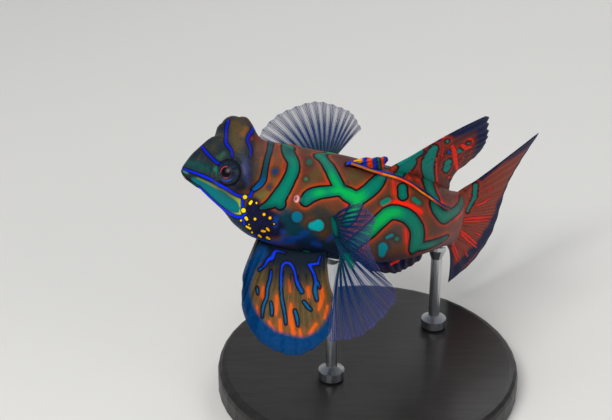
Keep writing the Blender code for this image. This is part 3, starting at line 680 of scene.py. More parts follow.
# The colour inside the bands: washes on teal
BAND_WASHES = (
    (GREEN, 2.0,
     (((330, 178, 4), (338, 190, 6), (358, 198, 8), (350, 215, 6)), ((320, 193, 5),),
      ((372, 230, 6), (384, 218, 8), (396, 212, 5)), ((428, 174, 3),))),
    (DEEP_TEAL, 1.6,
     (((288, 136, 7), (290, 150, 6)), ((320, 148, 7),), ((262, 208, 4), (282, 210, 4)),
      ((440, 240, 6),), ((462, 190, 6), (460, 206, 4)))),
    (CYAN, 0.8, (((312, 226, 4), (319, 225, 8)),)), (tone(0, 104, 134), 0.8, (((296, 218, 9),),)),
    (tone(0, 128, 140), 1.0, (((383, 250, 8), (390, 237, 4)),)),
    (tone(28, 78, 56), 0.6, (((309.5, 162, 6),), ((346, 184, 3),))),
    (tone(30, 116, 84), 0.5, (((306, 179, 3),),)),
    (tone(24, 54, 92), 0.5, (((275, 171.5, 6),), ((270, 187, 4),))),
)


def washed(base, colour, share):
    """Colours with another one laid over them by each point's share."""
    return base * (1 - share[..., None]) + np.array(colour) * share[..., None]


def painted(sheet, base, washes):
    """Colours of a sheet's points: the washes laid on the base one after another."""
    for colour, soft, strokes in washes:
        base = washed(base, colour, 1 - ease(sheet.marked(strokes), -soft / 2, soft / 2))
    return base


def slow_noise(place, seed):
    """A smooth wandering number from -1 to 1 for places in millimetres."""
    total = np.zeros(place.shape[:-1])
    random = np.random.default_rng(seed)
    for _ in range(WAVES):
        way = random.normal(size=3) * WAVE_TURN
        total = total + np.sin(place @ way + random.uniform(0, 6.28))
    return total / 4


def both_sides(field, station, angle):
    """The left side's field laid on the right side too, a little shifted, met beyond the back."""
    rows, columns = field.shape[:2]
    i, j = np.meshgrid(np.arange(rows), np.arange(columns), indexing="ij")
    # the copy wanders by up to seven rings and three sides
    away = np.clip(np.abs(np.sin(angle)), 0, 1)[None, :]
    shift_i = i + 4 * away * np.sin(i * 0.045 + 1.0) + 3 * away * np.sin(j * 0.11)
    shift_j = (columns - j) + 3 * away * np.sin(i * 0.06 + 2.0)
    shift_i = np.clip(shift_i, 0, rows - 1.001)
    low_i, low_j = np.floor(shift_i).astype(int), np.floor(shift_j).astype(int)
    part_i, part_j = shift_i - low_i, shift_j - low_j
    if field.ndim == 3:
        part_i, part_j = part_i[..., None], part_j[..., None]

    def between(row):
        return field[row, low_j % columns] * (1 - part_j) + field[row, (low_j + 1) % columns] * part_j

    mirrored = between(low_i) * (1 - part_i) + between(low_i + 1) * part_i
    degrees = np.degrees(angle)
    right = np.where(degrees > 180, 360 - degrees, 0)
    over = HEAD_SEAM * (1 - ease(station, 9, 14))[:, None]
    share = np.where(degrees > 180, ease(right[None, :] - over, *SEAM), 0)
    if field.ndim == 3:
        share = share[..., None]
    return field * (1 - share) + mirrored * share


def store(mesh, name, values):
    """Keeps a number or a colour at each point of the mesh."""
    if values.ndim == 1:
        kept = mesh.attributes.new(name, "FLOAT", "POINT")
        kept.data.foreach_set("value", values.astype(np.float32))
        return
    colours = np.concatenate([values, np.ones((len(values), 1))], 1).astype(np.float32)
    kept = mesh.attributes.new(name, "FLOAT_COLOR", "POINT")
    kept.data.foreach_set("color", colours.ravel())


def mesh_object(name, points, edges, faces, fields):
    """An object from points in millimetres, with fields kept at its points."""
    mesh = bpy.data.meshes.new(name)
    mesh.from_pydata((np.asarray(points) * MM).tolist(), edges, faces)
    for field, values in fields.items():
        store(mesh, field, values)
    made = bpy.data.objects.new(name, mesh)
    bpy.context.scene.collection.objects.link(made)
    return made


def make_piece(name, points, faces, material, **fields):
    """A smooth piece with its material."""
    piece = mesh_object(name, points, [], faces, fields)
    piece.data.materials.append(material)
    piece.data.shade_smooth()
    return piece


def hand_over(piece, slot, *nodes):
    work = bmesh.new()
    work.from_mesh(piece.data)
    bmesh.ops.recalc_face_normals(work, faces=work.faces)
    work.to_mesh(piece.data)
    work.free()
    if nodes:
        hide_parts(*nodes)
    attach(piece, "root")


class Number:
    """A socket's value, which sums and products take as they take a plain number."""

    def __init__(self, nodes, socket):
        self.nodes = nodes
        self.socket = socket

    def work(self, operation, first, second):
        return self.nodes.add("ShaderNodeMath", dict(operation=operation), first, second)

    def zigzag(self):
        """Up to a half and down again, once for each whole number."""
        return self.work("PINGPONG", self, 0.5)

    def ease(self, low, high):
        """0 at low and 1 at high, soft at both ends."""
        soft = dict(interpolation_type="SMOOTHSTEP")
        return self.nodes.add("ShaderNodeMapRange", soft, self, low, high, 0.0, 1.0)

    def __add__(self, other):
        return self.work("ADD", self, other)

    def __sub__(self, other):
        return self.work("SUBTRACT", self, other)

    def __rsub__(self, other):
        return self.work("SUBTRACT", other, self)

    def __mul__(self, other):
        return self.work("MULTIPLY", self, other)

    __radd__ = __add__
    __rmul__ = __mul__


class Nodes:
    """A tree of nodes in the making."""

    def __init__(self, tree):
        self.tree = tree

    def put(self, socket, value):
        if isinstance(value, Number):
            self.tree.links.new(value.socket, socket)
        elif isinstance(value, tuple) and socket.type == "RGBA":
            socket.default_value = (*value, 1.0)
        elif value is not None:
            socket.default_value = value

    def add(self, kind, settings, *values, output=0, **named):
        """A node with its settings, then its sockets by order or by name."""
        node = self.tree.nodes.new(kind)
        for key, value in settings.items():
            setattr(node, key, value)
        for socket, value in zip(node.inputs, values):
            self.put(socket, value)
        for key, value in named.items():
            self.put(node.inputs[key.replace("_", " ")], value)
        return Number(self, node.outputs[output])


class Paint(Nodes):
    """A material in the making."""

    def __init__(self, name):
        self.material = bpy.data.materials.new(name)
        self.material.use_nodes = True
        super().__init__(self.material.node_tree)
        self.place = self.add("ShaderNodeTexCoord", {}, output="Object")

    def field(self, name):
        return self.add("ShaderNodeAttribute", dict(attribute_name=name), output="Fac")

    def fields(self, *names):
        return [self.field(name) for name in names]

    def colours(self, name):
        return self.add("ShaderNodeAttribute", dict(attribute_name=name), output="Color")

    def noise(self, size, detail=2.0, rough=0.5, stretch=(1, 1, 1)):
        """Noise from 0 to 1 with features of so many millimetres."""
        scale = tuple(part / MM for part in stretch)
        mapped = self.add("ShaderNodeMapping", {}, self.place, Scale=scale)
        return self.add("ShaderNodeTexNoise", {}, mapped,
                        Scale=1 / size, Detail=detail, Roughness=rough)

    def mix(self, share, first, second):
        """The second colour over the first by so much."""
        skipped = [None] * 5
        return self.add("ShaderNodeMix", dict(data_type="RGBA"),
                        share, *skipped, first, second, output=2)

    def coats(self, colour, *coats):
        """A colour with coats laid on it one after another, each a share and a colour."""
        for share, coat in coats:
            colour = self.mix(share, colour, coat)
        return colour

    def bump(self, height, distance, strength=1.0):
        return self.add("ShaderNodeBump", {}, Strength=strength, Distance=distance * MM, Height=height)

    def grain(self, size=0.2, distance=0.02, strength=0.5):
        """The fine roughness of a ray or a membrane."""
        return self.bump(self.noise(size, 2), distance, strength)

    def finish(self, **named):
        shader = self.tree.nodes["Principled BSDF"]
        for key, value in named.items():
            self.put(shader.inputs[key.replace("_", " ")], value)
        return self.material


def skin_material():
    """The body's ground with its markings, laid on from the lowest to the topmost."""
    paint = Paint("fish_skin")
    wander = paint.noise(0.9, 3) - 0.5
    fine = paint.noise(0.2, 3, 0.6)
    broad = paint.noise(3.0, 2)
    # how ragged each marking's edge is
    ragged = dict(band=0.14, neck=0.08, spot=0.16, line=0.06, faint=0.3, gold=0.06, red=0.12, swirl=0.1,
                  cheek=0.1, fringe=0.08, cover=0.3)
    band, neck, spot, line, faint, gold, red, swirl, cheek, fringe, cover = (
        paint.field(name) + wander * share for name, share in ragged.items())
    lively, rear, low, front, pore = paint.fields("lively", "rear", "low", "front", "pore")
    colour = paint.mix(fine.ease(0.35, 0.75) * 0.22, paint.colours("ground"), INK)
    colour = paint.mix(broad.ease(0.5, 0.75) * lively * 0.35, colour, OLIVE)
    mottle = paint.noise(1.1, 4, 0.65)
    colour = paint.coats(
        colour,
        (mottle.ease(0.5, 0.7) * front * 0.4, tone(92, 74, 48)),
        (mottle.ease(0.48, 0.3) * front * 0.5, tone(16, 44, 52)))
    # an orange or red glow beside each band
    rim = paint.mix(rear, FLAME, tone(176, 42, 22))
    patchy = 0.45 + (broad + wander * 0.4).ease(0.3, 0.62) * 0.55
    colour = paint.coats(
        colour,
        (band.ease(0.68, 0.32) * lively * patchy * 0.95, rim),
        (band.ease(1.15, 0.5) * lively * patchy * 0.25, rim),
        (neck.ease(0.6, 0.25) * lively * 0.5, FLAME),
        (red.ease(0.5, 0.0) * 0.6, tone(190, 40, 20)),
        (red.ease(0.1, -0.12) * 0.9, SCARLET),
        (swirl.ease(0.1, -0.06) * 0.7, tone(150, 30, 24)),
        (cover.ease(0.5, -0.3), tone(16, 18, 40)))
    violet = fine.ease(0.5, 0.64) * cover.ease(0.3, -0.4) * 0.6
    colour = paint.coats(
        colour,
        (violet, tone(34, 24, 92)),
        # the cheek
        (cheek.ease(0.3, -0.15), tone(0, 98, 104)),
        (cheek.ease(0.0, -0.8) * 0.5, tone(0, 118, 126)))
    lemon = paint.mix(paint.field("back"), tone(112, 128, 62), LEMON)
    colour = paint.coats(
        colour,
        (fringe.ease(0.12, -0.12), lemon),
        # bands with their dark outline
        (band.ease(0.34, 0.16), INK))
    green = paint.mix(band.ease(-0.55, -0.1) * 0.45, paint.colours("tint"), DEEP_TEAL)
    green = paint.mix(fine.ease(0.45, 0.85) * 0.3, green, DEEP_TEAL)
    colour = paint.coats(
        colour,
        (band.ease(0.06, -0.08), green),
        (spot.ease(0.55, 0.05) * 0.45, tone(20, 24, 30)),
        (spot.ease(0.14, -0.2), paint.colours("tint")),
        (neck.ease(0.25, 0.1), INK))
    turquoise = paint.mix(low.ease(0.1, 0.6), tone(14, 62, 72), tone(0, 74, 120))
    turquoise = paint.mix(low.ease(0.6, 0.95), turquoise, tone(0, 86, 150))
    colour = paint.coats(
        colour,
        (neck.ease(0.05, -0.1), turquoise),
        (faint.ease(0.3, -0.3) * 0.7, tone(0, 62, 144)),
        (line.ease(0.2, 0.07) * 0.9, INK))
    blue = paint.mix(low.ease(0.1, 0.7), tone(6, 30, 176), BRIGHT_BLUE)
    colour = paint.coats(
        colour,
        (line.ease(0.04, -0.07), blue),
        (gold.ease(0.16, 0.06), INK))
    amber = paint.mix(front, tone(255, 180, 6), GOLD)
    colour = paint.coats(
        colour,
        (gold.ease(0.03, -0.05), paint.mix(gold.ease(-0.05, -0.2), amber, GOLD)),
        (pore.ease(0.35, 0.0) * 0.7, tone(122, 70, 56)),
        (pore.ease(0.04, -0.14), PINK),
        (pore.ease(-0.26, -0.4), tone(150, 84, 80)),
        (paint.field("mouth").ease(0.14, 0.04), tone(16, 14, 22)))
    height = fine * 0.6 + paint.noise(0.6, 2) * 0.5 + band.ease(0.4, -0.1) * 0.4
    return paint.finish(
        Base_Color=colour, Roughness=0.4 + paint.noise(1.4, 2) * 0.2, Specular_IOR_Level=0.06,
        Coat_Weight=0.05, Coat_Roughness=0.12, Coat_IOR=1.25, Normal=paint.bump(height, 0.05, 0.7))


def skin_grid():
    """The skin's points, with each one's station, angle, and distances to gill pore and mouth."""
    nose = NOSE_ROUND * (1 - np.cos(np.radians(np.linspace(3, 90, NOSE_RINGS, endpoint=False))))
    head = np.linspace(NOSE_ROUND, HEAD_END, HEAD_RINGS, endpoint=False)
    stations = np.concatenate([nose, head, np.linspace(HEAD_END, BODY_LENGTH, BODY_RINGS)])
    angle = np.arange(SKIN_SIDES) * 2 * math.pi / SKIN_SIDES
    station, turn = np.meshgrid(stations, angle, indexing="ij")
    radius = skin_radius(station, turn)
    grid = surface(station, turn)
    around = np.roll(grid, -1, 1) - np.roll(grid, 1, 1)
    out = unit(np.cross(np.gradient(grid, axis=0), around))
    out = out * np.sign((out * (grid - body_frame(station)[0])).sum(-1, keepdims=True))
    side, up = radius * np.sin(turn), radius * np.cos(turn)
    place = np.stack([station, np.abs(side), up], -1)
    # mouth, nostrils and gill openings sink in along the skin's own direction
    off_lips = np.abs(up - MOUTH_LINE[0] - MOUTH_LINE[1] * station)
    mouth_end = np.clip(1 - (station - MOUTH_CORNER) / MOUTH_FADE, 0, 1)
    off_mouth = off_lips + (1 - mouth_end) * 2
    corner = (np.clip((station - CORNER_REACH[0]) / CORNER_FADE, 0, 1)
              * np.clip((CORNER_REACH[1] - station) / CORNER_FADE, 0, 1))
    off_nostril = np.linalg.norm(place - opening_centre(*NOSTRIL_AT), axis=-1)
    off_pore = np.linalg.norm((place - opening_centre(*GILL_AT)) * GILL_STRETCH, axis=-1)
    sink = (MOUTH_CUT[0] * bump(off_mouth, MOUTH_CUT[1]) * mouth_end
            + CORNER_CUT[0] * corner * bump(off_lips - 0.1, CORNER_CUT[1])
            + NOSTRIL_DEPTH * bump(off_nostril, NOSTRIL_RADIUS * HOLLOW)
            + GILL_DEPTH * bump(off_pore, GILL_RADIUS * HOLLOW))
    grid = grid - sink[..., None] * out
    # inside the lids' opening the skin goes back behind the eye
    ahead, off_axis = from_gaze(place)
    inside = 1 - ease(off_axis, EYE_OPENING - LID_SLOPE[0], EYE_OPENING + LID_SLOPE[1])
    back = SOCKET_DEPTH * inside * (ahead > 0)
    for sign in (1, -1):
        own = back * (np.sign(side) == sign)
        grid = grid - own[..., None] * gaze_way(sign)
    return grid, station, turn, off_pore, off_mouth


def make_skin():
    """The skin with all that its material reads: distances to markings, grounds and shares."""
    grid, station, turn, off_pore, off_mouth = skin_grid()
    sheet = Sheet(grid, True)
    hidden = []
    for stroke in HIDDEN_BANDS:
        keys = np.array(stroke)
        hidden.append((None, skin_place(keys[:, 0], keys[:, 1])[0], keys[:, 2]))
    degrees = np.degrees(turn)
    from_back = np.minimum(degrees, 360 - degrees)
    wave = slow_noise(grid, 4)
    belly = ease(from_back + 6 * wave, 112, 140)
    aft = ease(station, 24, 34)
    base = np.array(RUST) * np.ones(grid.shape)
    for colour, share in (
            (EARTH, ease(wave, -0.2, 0.8) * 0.7),
            (OLIVE, ease(slow_noise(grid, 9), 0.1, 0.9) * 0.5),
            (MAROON, ease(from_back, 42, 8) * 0.7),
            (tone(128, 46, 34), ease(station, 35, 44) * 0.85),
            # the belly's dark blue ground: blue of its own, darkened by painted shade
            (tone(26, 44, 64), belly * (1 - 0.5 * aft)),
            (tone(92, 60, 56), belly * aft * 0.6)):
        base = washed(base, colour, share)
    marks = dict(spot=SPOTS, neck=NECK_BLUES, line=HEAD_BLUES, faint=FAINT_BLUES, gold=GOLD_SPOTS,
                 red=RED_MARKS, swirl=SWIRL, cheek=CHEEK, fringe=FRINGE, cover=COVER, calm=CALM)
    fields = {name: sheet.marked(strokes) for name, strokes in marks.items()}
    fields["band"] = sheet.distance(sheet.seen(BANDS + BACK_BANDS) + hidden)
    fields["ground"] = painted(sheet, base, WASHES)
    fields["tint"] = painted(sheet, np.array(TEAL) * np.ones(grid.shape), BAND_WASHES)
    fields = {name: both_sides(values, station[:, 0], turn[0]) for name, values in fields.items()}
    calm = ease(fields.pop("calm"), -0.8, 0.8)
    flank = (1 - ease(from_back, 116, 138)) * (0.4 + 0.6 * ease(from_back, 6, 36))
    fields.update(pore=off_pore - GILL_RADIUS * 0.8, mouth=off_mouth, lively=calm * flank,
                  low=ease(from_back, 20, 60), rear=ease(station, 20, 32),
                  front=1 - ease(station, 8, 11), back=ease(station, 5.5, 9.5))
    for name, values in fields.items():
        ends = [values[0].mean(0), values[-1].mean(0)]
        fields[name] = np.concatenate([values.reshape(-1, *values.shape[2:]), ends])
    points = np.concatenate([grid.reshape(-1, 3), [grid[0].mean(0), grid[-1].mean(0)]])
    faces = sheet.faces + end_faces(*grid.shape[:2])
    skin = make_piece("fish_skin", points, faces, skin_material(), **fields)
    hand_over(skin, "skin", "head", "torso", "rear_body", "tail_stalk")


def skin_root(fin, share, side):
    """Where a ray leaves the skin, and the skin's outward direction there."""
    station, degrees = (row_value(fin["rows"], k, share) for k in (0, 1))
    return skin_place(station, side * degrees, GAP)


def stalk_root(fin, share, side):
    """Where a ray of the tail fin leaves the stalk's end face."""
    point, aft, up, _ = body_frame(np.full(len(share), BODY_LENGTH + GAP))
    return point + row_value(fin["rows"], 0, share)[:, None] * up, aft


def fin_grid(fin, side, root, sunk, ripple, notch):
    """The fin's middle surface: its points, the direction across it, and how far out each row is."""
    columns = fin["rays"] * RAY_COLUMNS + 1
    share = np.linspace(0, 1, columns)
    roots, root_out = root(fin, share, side)
    aft, up, left = (row_value(fin["rows"], k, share) for k in (-3, -2, -1))
    between = 0.5 - 0.5 * np.cos(2 * math.pi * (share * fin["rays"] - 0.5))
    vectors = in_space(fin["station"], aft, up, side * left) * (1 - notch * between)[:, None]
    bow = in_space(fin["station"], fin["bow"][0], fin["bow"][1], side * fin["bow"][2])
    out = np.linspace(0, 1, FIN_ROWS)
    steps = out[:, None, None]
    grid = roots + steps * vectors + np.sin(np.pi * steps * BOW_TURN) * bow
    grid = np.concatenate([(roots - sunk * root_out)[None], grid])
    out = np.concatenate([[0], out])
    flat = unit(np.cross(np.gradient(grid, axis=0), np.gradient(grid, axis=1)))
    # folds between the rays, which start beyond the root and flatten at the free edge
    fold = ripple * (0.5 - between)[None, :] * ease(out, 0.05, 0.4)[:, None]
    fold = fold * (1 - 0.4 * ease(out, 0.85, 1.0)[:, None])
    return grid + fold[..., None] * flat, flat, out


def fin_edge(grid):
    """Each point's distance to the fin's free edge."""
    # every third point round the fin, without the rows at its root
    edge = np.concatenate([grid[4:, 0], grid[-1], grid[4:, -1][::-1]])[::3]
    points = grid.reshape(-1, 3)
    best = np.full(len(points), np.inf)
    for a, b in zip(edge, edge[1:]):
        best = np.minimum(best, off_line(points, a, b, nearest_share(points, a, b)))
    return best.reshape(grid.shape[:2])


def membrane_shell(sheet, half, flat):
    """The points and faces of a membrane: a sheet on either side of the middle one, and a rim."""
    rows, columns = sheet.grid.shape[:2]
    offset = half[:, None, None] * flat
    points = np.concatenate([sheet.grid + offset, sheet.grid - offset]).reshape(-1, 3)
    count = rows * columns
    faces = sheet.faces + [tuple(count + k for k in reversed(face)) for face in sheet.faces]
    rim = [i * columns for i in range(rows)] + [count - columns + j for j in range(1, columns)]
    rim += [i * columns + columns - 1 for i in range(rows - 2, -1, -1)]
    rim += list(range(columns - 2, 0, -1))
    faces += [(a, b, count + b, count + a) for a, b in zip(rim, rim[1:] + rim[:1])]
    return points, faces


def rays_tree(material):
    """The node group that turns the rays' lines into tapered rods."""
    tree = bpy.data.node_groups.new("fin_rays", "GeometryNodeTree")
    for name, way, kind in (("Lines", "INPUT", "Geometry"), ("Thickness", "INPUT", "Float"),
                            ("Sides", "INPUT", "Int"), ("Rays", "OUTPUT", "Geometry")):
        tree.interface.new_socket(name, in_out=way, socket_type="NodeSocket" + kind)
    nodes = Nodes(tree)
    start, end = tree.nodes.new("NodeGroupInput"), tree.nodes.new("NodeGroupOutput")
    lines, thickness, sides = (Number(nodes, start.outputs[k]) for k in (0, 1, 2))
    path = nodes.add("GeometryNodeMeshToCurve", {}, Mesh=lines)
    radius = nodes.add("GeometryNodeInputNamedAttribute", dict(data_type="FLOAT"), Name="thick")
    ring = nodes.add("GeometryNodeCurvePrimitiveCircle", {}, Resolution=sides, Radius=1.0)
    rods = nodes.add("GeometryNodeCurveToMesh", {}, Curve=path, Profile_Curve=ring,
                     Scale=radius * thickness, Fill_Caps=True)
    smooth = nodes.add("GeometryNodeSetShadeSmooth", {}, Geometry=rods)
    real = nodes.add("GeometryNodeRealizeInstances", {}, Geometry=smooth)
    rays = nodes.add("GeometryNodeSetMaterial", {}, Geometry=real, Material=material)
    nodes.put(end.inputs["Rays"], rays)
    return tree


def make_rays(name, lines, material, thickness=1.0, sides=6):
    """Tapered rods along lines: each line is points in millimetres, radii, and fields by name."""
    edges = []
    start = 0
    for path, _, _ in lines:
        edges += [(start + k, start + k + 1) for k in range(len(path) - 1)]
        start += len(path)
    fields = {key: np.concatenate([line[2][key] for line in lines]) for key in lines[0][2]}
    fields["thick"] = np.concatenate([radii for _, radii, _ in lines]) * MM
    piece = mesh_object(name, np.concatenate([path for path, _, _ in lines]), edges, [], fields)
    modifier = piece.modifiers.new("rays", "NODES")
    modifier.node_group = rays_tree(material)
    given = dict(Thickness=float(thickness), Sides=sides)
    for item in modifier.node_group.interface.items_tree:
        if item.name in given:
            modifier[item.identifier] = given[item.name]
    graph = bpy.context.evaluated_depsgraph_get()
    made = bpy.data.meshes.new_from_object(piece.evaluated_get(graph))
    piece.modifiers.clear()
    piece.data = made
    return piece


def make_fin(name, fin, side, material, ray_material, slot, root=skin_root, sunk=0.75, ripple=0.12,
             notch=0.03, thick=(0.3, 0.07), pair=0.1, ray_size=(0.15, 0.05), marks=None, known=None):
    """A fin: a thin membrane with its markings, and its rays in pairs.

    Its markings are strokes, marks, or what an earlier fin returned, known. Thick is the half
    thickness at the root and beyond it, and pair sets how far a pair's two halves stand apart.
    """
    grid, flat, out = fin_grid(fin, side, root, sunk, ripple, notch)
    rows, columns = grid.shape[:2]
    sheet = Sheet(grid, False)
    half = thick[0] + (thick[1] - thick[0]) * ease(out, 0.0, 0.22)
    half = half * (1 - 0.45 * ease(out, 0.9, 1.0))
    points, faces = membrane_shell(sheet, half, flat)
    markings = known or {key: sheet.marked(strokes) for key, strokes in marks.items()}
    across = np.linspace(0, 1, columns) * np.ones((rows, 1))
    fields = dict(markings, out=out[:, None] * np.ones(columns), across=across,
                  ray=across * fin["rays"], edge=fin_edge(grid))
    both_sheets = {key: np.tile(values.ravel(), 2) for key, values in fields.items()}
    hand_over(make_piece(name, points, faces, material, **both_sheets), slot, name)
    kept = np.arange(0, rows - 1, 2)
    lines = []
    for ray in range(fin["rays"]):
        for sign in (1, -1):
            spread = sign * pair * RAY_COLUMNS * (0.15 + 1.4 * out[kept])
            at = np.clip((ray + 0.5) * RAY_COLUMNS + spread, 0, columns - 1.001)
            low = np.floor(at).astype(int)
            part = (at - low)[:, None]
            path = grid[kept, low] * (1 - part) + grid[kept, low + 1] * part
            own = {key: fields[key][kept, low] for key in ("out", "edge", *markings)}
            lines.append((path, np.interp(out[kept], [0, 1], ray_size), own))
    hand_over(make_rays(name + "_rays", lines, ray_material), slot)
    return markings


def clear_fin_material(name, far_shade):
    """The see-through membrane of a pectoral fin, greyed and made less clear by so much, which is
    painted shade on the far fin.
    """
    paint = Paint(name)
    out = paint.field("out")
    blotch = paint.field("blotch") + (paint.noise(0.5, 2) - 0.5) * 0.2
    streak = paint.field("ray").zigzag().ease(0.2, 0.5)
    lower = paint.field("across").ease(0.4, 0.6)
    colour = paint.mix(out.ease(0.1, 0.5), tone(0, 62, 76), tone(14, 62, 112))
    colour = paint.coats(
        colour,
        (lower * out.ease(0.5, 0.1) * 0.7, tone(0, 84, 108)),
        (out.ease(0.5, 0.95), tone(74, 78, 124)),
        (paint.noise(2.4, 2).ease(0.45, 0.7) * 0.4, tone(74, 56, 118)),
        # painted shade: grey laid over the far fin's membrane
        (far_shade, tone(40, 46, 62)),
        (blotch.ease(0.1, -0.2), tone(0, 110, 92)))
    thread = (paint.field("ray") * 3 + 0.5).zigzag().ease(0.16, 0.0)
    colour = paint.mix(thread * 0.8, colour, tone(0, 34, 84))
    alpha = 0.18 + streak * 0.18 + out.ease(0.5, 0.05) * (0.3 + lower * 0.2)
    alpha = alpha + thread * 0.3 + out.ease(0.94, 1.0) * 0.1 + far_shade * out.ease(0.9, 0.3)
    alpha = alpha + blotch.ease(0.2, -0.2) * 0.4
    return paint.finish(Base_Color=colour, Roughness=0.45, Alpha=alpha, Specular_IOR_Level=0.04,
                        Normal=paint.grain(0.35, strength=0.4))


def clear_ray_material():
    paint = Paint("clear_fin_ray")
    out, blotch = paint.fields("out", "blotch")
    colour = paint.mix(out.ease(0.1, 0.6), tone(0, 32, 42), tone(0, 40, 96))
    colour = paint.coats(
        colour,
        (out.ease(0.7, 1.0) * 0.5, tone(30, 44, 104)),
        (blotch.ease(0.3, -0.1) * 0.8, tone(0, 84, 80)))
    return paint.finish(Base_Color=colour, Roughness=0.45, Specular_IOR_Level=0.15,
                        Alpha=1 - out.ease(0.3, 0.9) * 0.3, Normal=paint.grain())


def pelvic_margin(paint, colour, wander, lines, margin):
    """The pelvic fin's blue margin and bright lines, laid over its ground."""
    out = paint.field("out")
    cloud = paint.noise(0.5, 3).ease(0.4, 0.7) * 0.5
    blue = paint.mix(cloud, tone(0, 58, 108), tone(0, 40, 80))
    bright = paint.mix(out.ease(0.2, 0.42), tone(0, 52, 222), tone(0, 92, 140))
    bright = paint.mix(out.ease(0.6, 0.8), bright, tone(6, 52, 108))
    return paint.coats(
        colour,
        ((margin + wander * 0.5).ease(0.35, -0.35), blue),
        (lines.ease(0.28, 0.1) * 0.95, tone(4, 10, 30)),
        (lines.ease(0.04, -0.09), bright))


def pelvic_material():
    paint = Paint("pelvic_membrane")
    wander = paint.noise(0.8, 3) - 0.5
    out, edge, ray, line, margin = paint.fields("out", "edge", "ray", "line", "margin")
    flame = paint.field("lick") + wander * 0.3
    fold, grain = (ray * 2).zigzag(), (ray * 6).zigzag()
    colour = paint.mix(fold.ease(0.1, 0.45), tone(104, 80, 46), tone(82, 74, 46))
    colour = paint.coats(
        colour,
        ((grain + wander).ease(0.15, 0.6) * 0.5, tone(40, 34, 32)),
        (flame.ease(0.9, 0.1) * 0.35, tone(170, 84, 34)))
    torn = 0.7 + (grain - wander).ease(0.5, 0.1) * 0.3
    colour = paint.coats(
        colour,
        (flame.ease(0.2, -0.08) * torn, tone(226, 92, 16)),
        ((out + wander * 0.12).ease(0.42, 0.1), tone(12, 26, 38)))
    colour = pelvic_margin(paint, colour, wander, line + wander * 0.1, margin)
    height = fold * 0.8 + grain * 0.35 + wander * 0.3
    return paint.finish(Base_Color=colour, Roughness=0.5, Alpha=1 - edge.ease(1.0, 0.0) * 0.25,
                        Specular_IOR_Level=0.05, Normal=paint.bump(height, 0.06, 0.8))


def pelvic_ray_material():
    paint = Paint("pelvic_fin_ray")
    wander = paint.noise(0.8, 3) - 0.5
    out, flame, line, margin = paint.fields("out", "lick", "line", "margin")
    colour = paint.mix(out.ease(0.1, 0.5), tone(8, 14, 22), tone(66, 60, 38))
    colour = paint.mix(flame.ease(0.2, -0.1) * out.ease(0.16, 0.42), colour, tone(206, 96, 30))
    colour = pelvic_margin(paint, colour, wander, line, margin)
    return paint.finish(Base_Color=colour, Roughness=0.5, Specular_IOR_Level=0.06, Normal=paint.grain())


def fin_markings(paint, colour, band, red, blue):
    """Bands, red lines and blue spots laid over a fin's ground, each in its dark outline."""
    return paint.coats(
        colour,
        (band.ease(0.8, 0.3) * 0.5, tone(186, 50, 24)),
        (band.ease(0.32, 0.14) * 0.9, INK),
        (band.ease(0.05, -0.1), tone(0, 124, 112)),
        (red.ease(0.14, 0.02) * 0.8, tone(110, 18, 22)),
        (red.ease(0.04, -0.06), tone(232, 40, 18)),
        (blue.ease(0.16, 0.06), INK),
        (blue.ease(0.04, -0.06), tone(0, 72, 160)))


def dark_fin_material(name, ground, streaks, margin_width):
    """The second dorsal, anal and tail fins: brown-red with a dark blue margin and markings."""
    paint = Paint(name)
    wander = paint.noise(0.8, 3) - 0.5
    fine = paint.noise(0.25, 3)
    out, edge, ray, across = paint.fields("out", "edge", "ray", "across")
    margin = paint.field("margin") + wander * 0.4
    grain = (ray * 4).zigzag()
    colour = paint.mix((grain + wander * 0.6).ease(0.1, 0.5) * 0.55, ground, tone(52, 24, 26))
    colour = paint.coats(
        colour,
        ((fine + wander * 0.6).ease(0.5, 0.8) * streaks, tone(150, 48, 30)),
        (out.ease(0.3, 0.0) * 0.35, RUST))
    rim = (edge + wander * 0.4).ease(margin_width * 1.3, margin_width * 0.7)
    colour = paint.mix(rim * out.ease(0.08, 0.25), colour, NAVY)
    lobe = across.ease(0.16, 0.02) * out.ease(0.5, 0.85)
    colour = paint.mix(lobe * 0.9, colour, tone(16, 22, 66))
    night = paint.mix(grain.ease(0.2, 0.5) * 0.5, tone(8, 22, 66), tone(6, 12, 36))
    colour = paint.mix(margin.ease(0.35, -0.35), colour, night)
    colour = fin_markings(paint, colour, paint.field("band") + wander * 0.15,
                          paint.field("red") + wander * 0.08, paint.field("blue") + wander * 0.08)
    return paint.finish(Base_Color=colour, Roughness=0.5, Specular_IOR_Level=0.05,
                        Alpha=1 - edge.ease(0.7, 0.0) * 0.15,
                        Normal=paint.bump(grain * 0.7 + wander * 0.3, 0.06, 0.8))


def dark_ray_material(name, tint, margin_width):
    paint = Paint(name)
    out, edge, margin = paint.fields("out", "edge", "margin")
    colour = paint.mix(out.ease(0.0, 0.5), tone(84, 34, 28), tint)
    colour = paint.coats(
        colour,
        (edge.ease(margin_width * 1.2, margin_width * 0.8), tone(14, 20, 56)),
        (margin.ease(0.35, -0.35), tone(14, 20, 52)))
    colour = fin_markings(paint, colour, *paint.fields("band", "red", "blue"))
    return paint.finish(Base_Color=colour, Roughness=0.5, Specular_IOR_Level=0.06, Normal=paint.grain())


# A stroke far off the picture, for a marking that a fin has none of
NOTHING = (((-400, -400, 0.1),),)
